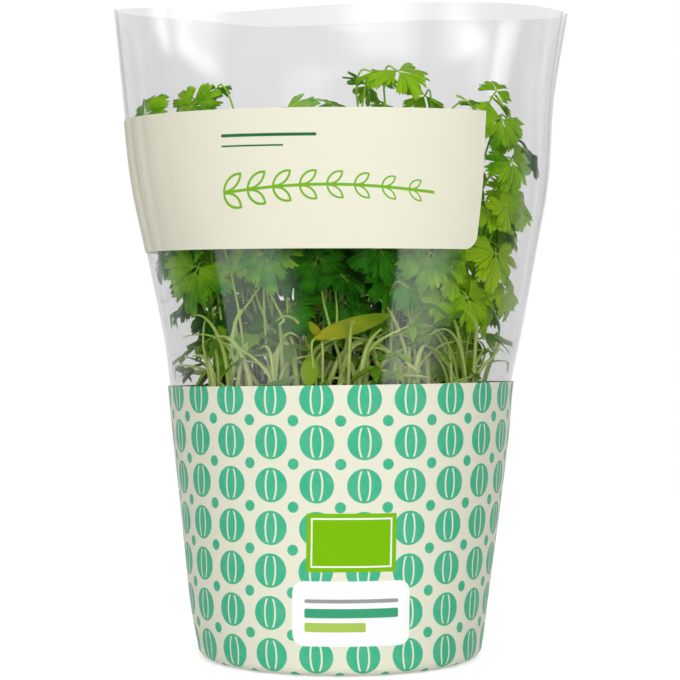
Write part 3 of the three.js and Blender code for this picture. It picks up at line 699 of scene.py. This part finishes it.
def wrap_line(degrees, depth):
    """One column of the printed sheet, from its hem under the pot round the heel to its top edge."""
    a = rad(degrees)
    top = WRAP_TOP + WRAP_TILT[0] * math.cos(a) + WRAP_TILT[1] * math.sin(a)
    line = [(HEM * math.sin(a), -HEM * math.cos(a), HEM_LIFT + depth)]
    radius = HEEL - depth
    for t in range(0, 91, 15):
        r = HEEL_HALF_WIDTH - HEEL + radius * math.sin(rad(t))
        crimp = CRIMP * math.cos(rad(t)) * (1 + math.sin(CRIMPS * a))
        line.append((r * math.sin(a), -r * math.cos(a), HEM_LIFT + HEEL - radius * math.cos(rad(t)) + crimp))
    bead = WRAP_WELD * weld(degrees if degrees <= 180 else degrees - 360)
    for k in range(WRAP_ROWS):
        z = lerp(WRAP_START, top, k / (WRAP_ROWS - 1))
        slack = sleeve_noise(a, 3, z / 40) * 0.22 * math.sin(math.pi * z / top)
        line.append(on_sleeve(degrees, z, slack - depth - WRAP_DEPTH + bead))
    return line


def wrap_piece():
    """The printed part: two sheets welded at the sides, pressed in folds under the pot's heel."""
    build = Build()
    for front in (True, False):
        start = -90 if front else 90
        angles = [start + COLUMN / 2 * i for i in range(round(360 / COLUMN) + 1)]
        outer = [wrap_line(degrees, 0) for degrees in angles]
        inner = [wrap_line(degrees, SHEET) for degrees in angles]
        turned = [degrees if front else degrees - 180 for degrees in angles]
        look = [[(station(SLEEVE, p[2], 1) * rad(t), p[2], not front) for p in line]
                for t, line in zip(turned, outer)]
        sheet(build, outer, inner, look, False)
    piece = build.piece("printed_wrap", [wrap_material()], 50)
    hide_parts("sleeve_wrap")
    return piece


def band_piece():
    left, right = LABEL_ARC
    reach = math.degrees(LABEL_CORNER / station(SLEEVE, LABEL_Z[0], 1))
    angles = list(np.arange(left, right - reach, COLUMN / 2))
    angles += [right - reach * (1 - math.cos(rad(t))) for t in range(90, -1, -6)]
    outer, inner, look = [], [], []
    for degrees in angles:
        into = clamp((degrees - right + reach) / reach)
        foot = LABEL_Z[0] + LABEL_CORNER * (1 - math.sqrt(1 - into * into))
        heights = [lerp(foot, LABEL_Z[1], k / (BAND_ROWS - 1)) for k in range(BAND_ROWS)]
        waves = [ripple(degrees, z) - BAND_DEPTH for z in heights]
        outer.append([on_sleeve(degrees, z, w) for z, w in zip(heights, waves)])
        inner.append([on_sleeve(degrees, z, w - SHEET) for z, w in zip(heights, waves)])
        look.append([(station(SLEEVE, z, 1) * rad(degrees), z, 0) for z in heights])
    build = Build()
    sheet(build, outer, inner, look, False)
    piece = build.piece("printed_band", [band_material()], 50)
    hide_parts("sleeve_label")
    return piece


# ---- reading the seedlings' solids ----
HUB_EDGES = 15  # only the middle of a leaf is joined to more points
STALK_RINGS = 3
STEM_CORNERS = 4


def seedling_skeleton(node):
    """The stem's and stalks' centre lines and the leaves of a shoot's solid, from its own vertices."""
    mesh = node.data
    raw = np.array([v.co for v in mesh.vertices]) / MM
    keys = {}
    index = [keys.setdefault(tuple(np.round(p, 3)), len(keys)) for p in raw]
    points = np.zeros((len(keys), 3))
    for i, p in zip(index, raw):
        points[i] = p
    near = [set() for _ in points]
    for face in mesh.polygons:
        corners = [index[v] for v in face.vertices]
        for a in corners:
            near[a].update(c for c in corners if c != a)

    def beyond(ring):
        """All the points that those of a ring are joined to."""
        return set().union(*(near[i] for i in ring))

    def middle(ring):
        return np.mean([points[i] for i in ring], axis=0)

    # A leaf's middle is joined to its whole rim, above and below.
    hubs = [i for i, others in enumerate(near) if len(others) > HUB_EDGES]
    hubs.sort(key=lambda i: tuple(points[i]))
    seen = set()
    leaves = []
    while hubs:
        one = hubs.pop(0)
        other = min(hubs, key=lambda i: np.linalg.norm(points[i] - points[one]))
        hubs.remove(other)
        top, under = sorted((one, other), key=lambda i: -points[i][2])
        far = np.array([np.linalg.norm(points[i] - points[top]) for i in sorted(near[top])])
        both = {*near[top], *near[under], top, under}
        # The base is the part of the rim that the stalk's last ring is joined to.
        base = [i for i in both if near[i] - both]
        seen |= both
        leaves.append({"top": points[top], "up": unit(points[top] - points[under]), "base": base,
                       "size": far.max() / math.sqrt(1 + DROOP ** 2)})
    for leaf in leaves:
        foot = middle(leaf["base"])
        back = leaf["top"] - foot
        leaf["ahead"] = unit(back - leaf["up"] * (back @ leaf["up"]))
        leaf["across"] = np.cross(leaf["up"], leaf["ahead"])
        line = [foot]
        ring = set(leaf["base"])
        for _ in range(STALK_RINGS):
            ring = beyond(ring) - seen - ring
            seen |= ring
            line.append(middle(ring))
        line.append(middle(beyond(ring) - seen))
        leaf["path"] = line[::-1]
    rest = [i for i in range(len(points)) if i not in seen]
    rest.sort(key=lambda i: points[i][2])
    ring = set(rest[:STEM_CORNERS])
    stem = []
    while ring:
        stem.append(middle(ring))
        seen |= ring
        ring = beyond(ring) - seen
    return stem, leaves


# ---- seedlings ----
def smooth_line(points, steps):
    """A rounder line through the same points."""
    p = [np.asarray(q, float) for q in points]
    p = [2 * p[0] - p[1], *p, 2 * p[-1] - p[-2]]
    line = []
    for i in range(1, len(p) - 2):
        for k in range(steps):
            t = k / steps
            a = 2 * p[i]
            b = p[i + 1] - p[i - 1]
            c = 2 * p[i - 1] - 5 * p[i] + 4 * p[i + 1] - p[i + 2]
            d = -p[i - 1] + 3 * p[i] - 3 * p[i + 1] + p[i + 2]
            line.append(0.5 * (a + b * t + c * t * t + d * t ** 3))
    line.append(p[-2])
    return np.array(line)


def tube(build, line, radii, tone, sides=7):
    """A closed round stalk along a line, in the second material."""
    line = np.asarray(line)
    tangents = np.gradient(line, axis=0)
    tangents /= np.linalg.norm(tangents, axis=1)[:, None]
    e1 = np.cross(tangents, (0.9, 0.3, 0.1))  # a way that no stalk points
    e1 /= np.linalg.norm(e1, axis=1)[:, None]
    e2 = np.cross(tangents, e1)
    a = np.linspace(0, 2 * math.pi, sides, endpoint=False)
    ring = np.cos(a)[None, :, None] * e1[:, None] + np.sin(a)[None, :, None] * e2[:, None]
    points = (line[:, None] + ring * np.asarray(radii)[:, None, None]).reshape(-1, 3)
    n = len(line)
    faces = grid_faces(n, sides, False, True)
    caps = [list(range(sides))[::-1], [(n - 1) * sides + i for i in range(sides)]]
    look = np.zeros((len(points), 3))
    look[:, 0] = points[:, 2] - SOIL_TOP
    build.add(points, [faces[:, ::-1], np.array(caps)[:, ::-1]], look, (tone, 0, 0), 1)


def inside_film(points):
    """Points of the foliage, pressed in where they would touch the film."""
    x, y, z = points.T
    lean = np.interp(z, LEVELS, LEVEL_LEAN)
    half_width = np.interp(z, LEVELS, LEVEL_WIDTH)
    half_depth = np.interp(z, LEVELS, LEVEL_DEPTH)
    a = np.arctan2((x - lean) / half_width, -y / half_depth)
    room = wave(a, z, np.clip((z - WAVE_FOOT) / WAVE_RISE, 0, 1), np.cos) - FILM_CLEAR
    share = np.hypot((x - lean) / (half_width + room), y / (half_depth + room))
    press = np.where(share > 1, 1 / np.maximum(share, 1), 1)
    return np.stack([lean + (x - lean) * press, y * press, z], -1)


def thin_blade(build, leaf, ahead, aside, lift, look, columns, rows):
    """A closed thin blade. Its grid is in the leaf's own directions, as shares of its size."""
    grid = ahead[..., None] * leaf["ahead"] + aside[..., None] * leaf["across"] + lift[..., None] * leaf["up"]
    grid = inside_film((leaf["top"] + leaf["size"] * grid).reshape(-1, 3))
    total = columns * rows
    quads = grid_faces(columns, rows, False, False)
    edge = np.concatenate([
        np.arange(rows), np.arange(1, columns) * rows + rows - 1,
        (columns - 1) * rows + np.arange(rows - 2, -1, -1), np.arange(columns - 2, 0, -1) * rows,
    ])
    after = np.roll(edge, -1)
    rim = np.stack([edge + total, after + total, after, edge], -1)
    below = look.copy()
    below[:, 2] = 1
    build.add(np.concatenate([grid, grid - leaf["up"] * LEAF_THICK]), [quads, quads[:, ::-1] + total, rim],
              np.concatenate([look, below]), (leaf["tone"], leaf["age"], leaf["seed"]))


def fan_edge(across, fan, rng):
    """How far a leaflet's edge is from its base, at shares -1..1 of its fan: three lobes, round teeth."""
    reach = np.cos(fan) ** 0.75
    for middle in (-0.34, 0.34):
        at = middle + rng.uniform(-0.08, 0.08)
        deep = rng.uniform(0.18, 0.44)
        reach -= deep * np.clip(1 - np.abs(across - at) / 0.155, 0, 1) ** 0.9
    teeth = rng.uniform(5.6, 7.8)
    phase = rng.uniform(0, math.pi)
    notch = 1 - np.abs(np.sin(across * teeth * math.pi + phase + 0.5 * np.sin(5 * across)))
    return reach - rng.uniform(0.10, 0.16) * notch ** 1.3


def leaflet(build, leaf, turn, size, offset, rng, mesh):
    """One toothed fan of a leaf, waved and folded a little along its middle."""
    columns, rows = mesh[0] + 1, mesh[1] + 1
    across = np.linspace(-1, 1, columns)
    high = clamp((leaf["top"][2] - 185) / 25)  # the upper leaves are more slender
    fan = np.radians(LEAF_SPAN) * across * rng.uniform(0.86, 1.04) * (1 - 0.3 * high)
    edge = fan_edge(across, fan, rng) * (size - offset)
    out = np.linspace(0, 1, rows) ** 0.85
    x = offset + out * (edge * np.cos(fan))[:, None]
    y = out * (edge * np.sin(fan))[:, None] + 0.018 * across[:, None] * (1 - out)
    c, s = math.cos(rad(turn)), math.sin(rad(turn))
    ahead, aside = x * c - y * s, x * s + y * c
    fold = rng.uniform(-0.05, 0.22)
    curl = rng.uniform(-0.10, 0.28)
    waved = rng.uniform(0.025, 0.08)
    phase = rng.uniform(0, 2 * math.pi)
    twist = rng.uniform(-0.25, 0.25)
    lift = -DROOP * (ahead ** 2 + aside ** 2) + fold * np.abs(y) - curl * (x - offset) ** 2
    lift += waved * np.sin(across[:, None] * 7.5 + phase) * out ** 2 + twist * y * (x - offset)
    look = np.stack([np.repeat(across, rows), np.tile(out, columns), np.zeros(columns * rows)], -1)
    thin_blade(build, leaf, ahead, aside, lift, look, columns, rows)


def compound_leaf(build, leaf, rng, mesh):
    """A leaf of three leaflets on short stalks."""
    for turn, size, offset in LEAFLETS:
        turned = turn + rng.uniform(-7, 7)
        leaflet(build, leaf, turned, size * rng.uniform(0.9, 1.0), offset, rng, mesh)
        c, s = math.cos(rad(turned)), math.sin(rad(turned))
        tip = leaf["top"] + leaf["size"] * (offset + 0.16) * (c * leaf["ahead"] + s * leaf["across"])
        line = np.linspace(leaf["top"] - leaf["up"] * 0.3, tip - leaf["up"] * 0.25, 4)
        # the stalk takes the leaf's tone, painted light and shade included
        tube(build, line, np.linspace(0.32, 0.12, 4), leaf["tone"], 5)


def seed_leaf(build, leaf, rng):
    """A seedling's first leaf: smooth and long, with no teeth."""
    columns, rows = 13, 4
    along = np.linspace(0, 1, columns)
    half = leaf["slim"] * np.sin(math.pi * along ** 0.85) ** 0.75 + 0.02
    side = np.linspace(-1, 1, rows)
    ahead = np.repeat(along, rows).reshape(columns, rows)
    sway = rng.uniform(-0.16, 0.16)
    aside = half[:, None] * side + sway * (along * (1 - along))[:, None]
    bend, cup = rng.uniform(-0.1, 0.35), rng.uniform(0.1, 0.5)
    lift = -bend * ahead ** 2 + cup * leaf["slim"] * side ** 2 * np.ones((columns, 1))
    look = np.stack([np.tile(side, columns), np.repeat(along, rows), np.zeros(columns * rows)], -1)
    thin_blade(build, leaf, ahead, aside, lift, look, columns, rows)


def leaf_at(place, facing, heading, size, tone, age=0.0, slim=None):
    """A leaf by its middle, the way that its upper face looks and roughly the way that its tip points."""
    up = unit(facing)
    across = unit(np.cross(up, heading))
    return {"top": np.asarray(place, float), "up": up, "across": across, "ahead": np.cross(across, up),
            "size": size, "tone": tone, "age": age, "slim": slim, "seed": 0.0 if slim is None else 1.0}


def leaf_tone_with_painted_light(place, rng):
    """Painted light and shade on a random tone: dark in the crowded middle, pale at the sides, above and
    right.
    """
    x, _, z = place
    aside = min(abs(x - 6) / 46, 1) ** 1.3
    high = clamp((z - 168) / 34)
    # painted light: leaves to the right are paler, as if lit from that side
    right = clamp(x / 30)
    return -1.15 + 1.7 * aside + 1.1 * high + 1.15 * right + rng.uniform(-0.5, 0.5)


def bow(a, b, c, d, steps):
    """A bow from a to d that b and c pull towards them."""
    t = np.linspace(0, 1, steps)[:, None]
    a, b, c, d = (np.asarray(p, float) for p in (a, b, c, d))
    return a * (1 - t) ** 3 + 3 * b * t * (1 - t) ** 2 + 3 * c * t * t * (1 - t) + d * t ** 3


def soil_height(x, y):
    r2 = (x * x + y * y) / SOIL_RADIUS ** 2
    lumps = np.sin(0.19 * x + 1.3) * np.cos(0.23 * y - 0.4) + 0.5 * np.sin(0.41 * y + 0.3 * x)
    return SOIL_CROWN + (SOIL_EDGE - SOIL_CROWN) * r2 + SOIL_BUMP * lumps * (1 - 0.7 * r2)


def rooted(foot):
    """Sets a stem's foot to just under the soil's face."""
    foot[2] = soil_height(foot[0], foot[1]) - ROOTED
    return foot


def seedling(name, node, rng):
    """The finer form of one shoot: its stem and leaves where the solid has them."""
    stem, leaves = seedling_skeleton(node)
    build = Build()
    line = smooth_line(stem, 4)
    tone = rng.uniform(-1, 1)
    tube(build, inside_film(line), np.linspace(0.76, 0.5, len(line)) * (1 + 0.3 * tone), tone, 8)
    for leaf in leaves:
        # painted light and shade: the leaf's tone follows its place
        leaf["tone"] = leaf_tone_with_painted_light(leaf["top"], rng)
        leaf["size"] *= 1 - 0.25 * clamp((leaf["top"][2] - 195) / 10)
        leaf["age"] = rng.uniform(0.5, 1.0) if rng.random() < 0.03 else 0.0
        leaf["seed"] = 0.0
        path = smooth_line([*leaf["path"], leaf["top"] - leaf["up"] * 0.35], 4)
        tube(build, inside_film(path), np.linspace(0.5, 0.32, len(path)), tone)
        compound_leaf(build, leaf, rng, FINE)
    piece = build.piece(name, [LEAF, STEM], 55)
    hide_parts(node.name)
    return piece


def held(turn, tilt, roll):
    """What is outwards and sideways of a leaf, the way that it faces and the way that its tip points. It
    faces turn degrees from the front and tilt from straight up; its tip is roll from straight down."""
    out, side = around(turn)
    facing = out * math.sin(rad(tilt)) + UP * math.cos(rad(tilt))
    heading = side * math.sin(rad(roll)) - UP * math.cos(rad(roll))
    return out, side, facing, heading


def hung_leaf(build, rng, place, turn, tilt, roll, size, tone, age, mesh):
    """A leaf on a thin stem of its own from the soil."""
    out, side, facing, heading = held(turn, tilt, roll)
    place = np.asarray(place, float)
    leaf = leaf_at(place, facing, heading + out * 0.25, size, tone, age)
    compound_leaf(build, leaf, rng, mesh)
    foot = rooted(place * rng.uniform(0.45, 0.8) + side * rng.uniform(-8, 8))
    top = leaf["top"] - leaf["up"] * 0.3
    over = top - leaf["ahead"] * 8 + UP * 3
    line = bow(foot, foot + UP * (place[2] - 100) * 0.6 + side * rng.uniform(-5, 5), over, top, 16)
    tube(build, inside_film(line), np.linspace(0.55, 0.28, 16), rng.uniform(-1, 1), 6)


def inner_leaf(build, rng):
    """A leaf of the dense middle, hanging with its face outwards."""
    turn = rng.uniform(-180, 180)
    z = rng.uniform(112, 172)
    reach = min(46 + 0.5 * (z - 108), 64) * math.sqrt(rng.uniform(0.12, 1.0))
    place = around(turn)[0] * reach + UP * z
    # painted light and shade from the leaf's place, and painted shade: a leaf near the middle is darker still
    tone = leaf_tone_with_painted_light(place, rng) - 0.5 * (reach < 40)
    age = 0.8 if rng.random() < 0.02 else 0.0
    hung_leaf(build, rng, place, turn + rng.uniform(-40, 40), rng.uniform(30, 85), rng.uniform(-70, 70),
              rng.uniform(10.5, 15.5), tone, age, PLAIN)


def chosen_leaves(build, rng):
    for x, y, z, turn, tilt, roll, size, tone in CHOSEN_LEAVES:
        hung_leaf(build, rng, (x, y, z), turn, tilt, roll, size, tone, 0.0, FINE)
    for x, y, z, turn, tilt, roll, size, slim, tone, age in CHOSEN_SEED_LEAVES:
        _, _, facing, heading = held(turn, tilt, roll)
        leaf = leaf_at((x, y, z), facing, heading, size, tone, age, slim)
        seed_leaf(build, leaf, rng)
        foot = rooted(np.array([x, y, 0]) * 0.9)
        line = bow(foot, foot + UP * (z - 100) * 0.5, leaf["top"] - leaf["ahead"] * 3, leaf["top"], 12)
        tube(build, inside_film(line), np.linspace(0.55, 0.4, 12), 1.0, 6)


def stray(build, rng):
    """A flopped seedling: a pale thin stem that bows over. Many bear their two seed leaves."""
    clump = rng.random() < 0.6
    if clump:
        x, y = rng.choice(CLUMPS)
        foot = np.array([x + rng.gauss(0, 2.6), y + rng.gauss(0, 2.2), 0])
    else:
        foot = around(rng.gauss(0, 85))[0] * 54 * math.sqrt(rng.uniform(0.2, 1))
    foot = rooted(foot)
    away = around(rng.uniform(-180, 180))[0]
    travel, tall = rng.uniform(4, 32), rng.uniform(8, 36)
    top = foot + away * travel + UP * tall * rng.uniform(0.65, 1.1)
    knee = foot + UP * tall * 0.75 + away * travel * rng.uniform(-0.1, 0.35)
    over = top - away * travel * 0.45 + UP * tall * rng.uniform(-0.2, 0.25)
    line = inside_film(bow(foot, knee, over, top, 14))
    tone = rng.uniform(0.4, 1.0)
    girth = lerp(0.2, 1.5, tone)  # the palest are the thickest
    tube(build, line, (0.72 - 0.56 * np.linspace(0, 1, 14) ** 2) * girth, tone, 6)
    crowded = (Vector(line[-1]) - BARE_SPOT).length < BARE_RADIUS
    if crowded or math.hypot(*top[:2]) < math.hypot(*foot[:2]) - 8 or clump and rng.random() < 0.45:
        return
    onward = unit(line[-1] - line[-3])
    for turn in (-1, 1):
        apart = unit(np.cross(onward, UP))
        heading = onward + apart * turn * rng.uniform(0.4, 1.0) + UP * rng.uniform(-0.6, 0.4)
        facing = UP + away * 0.5 + apart * turn * rng.uniform(-0.4, 0.4)
        leaf = leaf_at(line[-1], facing, heading, rng.uniform(6, 11), rng.uniform(-0.2, 1.2), 0.0, 0.17)
        seed_leaf(build, leaf, rng)


def undergrowth(name, make, count, rng):
    build = Build()
    for _ in range(count):
        make(build, rng)
    piece = build.piece(name, [LEAF, STEM], 55)
    return piece


# ---- the soil ----
def crumb_shape():
    """The points and faces of a ball of 42 points, to be made uneven."""
    mesh = bpy.data.meshes.new("ball")
    ball = bmesh.new()
    bmesh.ops.create_icosphere(ball, subdivisions=2, radius=1.0)
    ball.to_mesh(mesh)
    ball.free()
    points = np.array([v.co for v in mesh.vertices])
    faces = np.array([p.vertices for p in mesh.polygons])
    bpy.data.meshes.remove(mesh)
    return points, faces


def soil_piece(rng):
    """The soil's crumbly skin, with loose crumbs and bits of bark on it."""
    radii = np.linspace(0.5, SOIL_RADIUS - 0.7, SOIL_RINGS)
    outer, inner = [], []
    for a in np.linspace(0, 2 * math.pi, SOIL_COLUMNS, endpoint=False):
        x, y = radii * math.sin(a), -radii * math.cos(a)
        z = soil_height(x, y)
        rough = [noise.fractal(Vector((u / 5, v / 5, 3.0)), 0.7, 2.1, 4) for u, v in zip(x, y)]
        outer.append(np.stack([x, y, z + 0.5 + np.array(rough) * 1.1], -1))
        inner.append(np.stack([x, y, z - 1.2], -1))
    build = Build()
    sheet(build, outer, inner, np.zeros((SOIL_COLUMNS, SOIL_RINGS, 3)), True)
    ball, faces = crumb_shape()
    for _ in range(CRUMBS):
        a = rng.uniform(0, 2 * math.pi)
        r = (SOIL_RADIUS - 2.5) * math.sqrt(rng.random())
        place = np.array([r * math.sin(a), -r * math.cos(a), 0])
        place[2] = soil_height(place[0], place[1]) + 0.8
        size = 0.5 + 1.7 * rng.random() ** 2.5
        stretch = np.array([rng.uniform(0.7, 1.5), rng.uniform(0.7, 1.3), rng.uniform(0.5, 1.0)])
        lumps = 1 + 0.25 * np.sin(ball @ np.array([rng.uniform(2, 5) for _ in range(3)]) + rng.uniform(0, 6))
        build.add(place + ball * lumps[:, None] * stretch * size, [faces], (0, 0, 0), (rng.random(), 0, 0))
    piece = build.piece("soil_crumbs", [soil_material()], 70)
    return piece


# ---- making the scene ----
def make_camera():
    data = bpy.data.cameras.new("camera")
    data.lens = CAMERA_LENS
    data.sensor_width = CAMERA_SENSOR
    camera = add_object("camera", data)
    camera.location = [v * MM for v in CAMERA_PLACE]
    camera.rotation_euler = (rad(90 - CAMERA_DOWN), 0, 0)
    bpy.context.scene.camera = camera


def soft_box(name, degrees, distance, width, height, middle, brightness, fade=None):
    """A light panel that faces the plant. One that fades is seen by glossy things alone."""
    data = bpy.data.lights.new(name, "AREA")
    data.shape = "RECTANGLE"
    data.size, data.size_y = width, height
    data.energy = brightness * math.pi * width * height
    light = add_object(name, data)
    light.location = (distance * math.sin(rad(degrees)), -distance * math.cos(rad(degrees)), middle)
    light.rotation_euler = (LIT_PLACE - light.location).to_track_quat("-Z", "Y").to_euler()
    light.visible_camera = False
    light.visible_glossy = fade is not None
    light.visible_diffuse = light.visible_transmission = fade is None
    if fade:
        s = Shader(data)
        across, up, _ = s.node("SeparateXYZ", {0: s.node("NewGeometry")["Parametric"]})
        sides = s.times(s.step(across, 0, fade[0]), s.step(across, 1, 1 - fade[1]))
        ends = s.times(s.step(up, 0, fade[2]), s.step(up, 1, 1 - fade[2]))
        s.finish(s.node("Emission", {"Strength": s.times(sides, ends)})[0], "OutputLight")


def make_world():
    """White to the camera, a soft fill for matte surfaces; glossy ones mirror a white wall behind."""
    world = bpy.data.worlds.new("studio")
    bpy.context.scene.world = world
    s = Shader(world)
    rays = s.node("LightPath")
    towards = s.node("SeparateXYZ", {0: s.node("TexCoord")["Generated"]})
    matte = s.times(s.minus(1.0, rays["Is Glossy Ray"]), FILL)
    glossy = s.times(rays["Is Glossy Ray"], s.step(towards[1], 0.1, 0.7))
    strength = s.math("MAXIMUM", rays["Is Camera Ray"], s.plus(matte, glossy))
    s.finish(s.node("Background", {"Color": (1, 1, 1), "Strength": strength})[0], "OutputWorld")


def make_floor():
    bpy.ops.mesh.primitive_circle_add(vertices=96, radius=FLOOR_RADIUS, fill_type="NGON")
    floor = bpy.context.object
    floor.name = "floor"
    floor.visible_glossy = False
    s = new_material("floor_paper")
    far = s.node("VectorMath", {0: s.node("TexCoord")["Object"]}, operation="LENGTH")["Value"]
    seen = s.node("LightPath")["Is Camera Ray"]
    paper = s.node("BsdfPrincipled", {
        "Base Color": (0.8, 0.8, 0.8), "Roughness": 0.9, "Specular IOR Level": 0.1,
        "Emission Color": (1, 1, 1), "Emission Strength": s.times(seen, FLOOR_GLOW),
    })[0]
    fade = s.blend(s.step(far, *FLOOR_FADE), paper, s.node("BsdfTransparent")[0])
    floor.data.materials.append(s.finish(fade))


LEAF = leaf_material()
STEM = stem_material()

bpy.context.scene.view_settings.view_transform = "Standard"
make_camera()
make_world()
make_floor()
for lamp in LAMPS + PANELS:
    soft_box(*lamp)

pieces = [film_piece(), wrap_piece(), band_piece()]
rng = random.Random(SEED)
for label in sorted(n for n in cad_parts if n.startswith("shoot_")):
    pieces.append(seedling(label.replace("shoot", "seedling"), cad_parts[label], rng))
for name in ("inner_leaves", "more_inner_leaves"):
    pieces.append(undergrowth(name, inner_leaf, INNER_LEAVES, rng))
pieces.append(undergrowth("outer_leaves", chosen_leaves, 1, rng))
pieces.append(undergrowth("flopped_seedlings", stray, STRAYS, rng))
pieces.append(soil_piece(rng))

for label, material in (("pot", pot_material()), ("soil", soil_material())):
    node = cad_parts[label]
    node.data.materials.clear()
    node.data.materials.append(material)
for piece in pieces:
    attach(piece, "root")
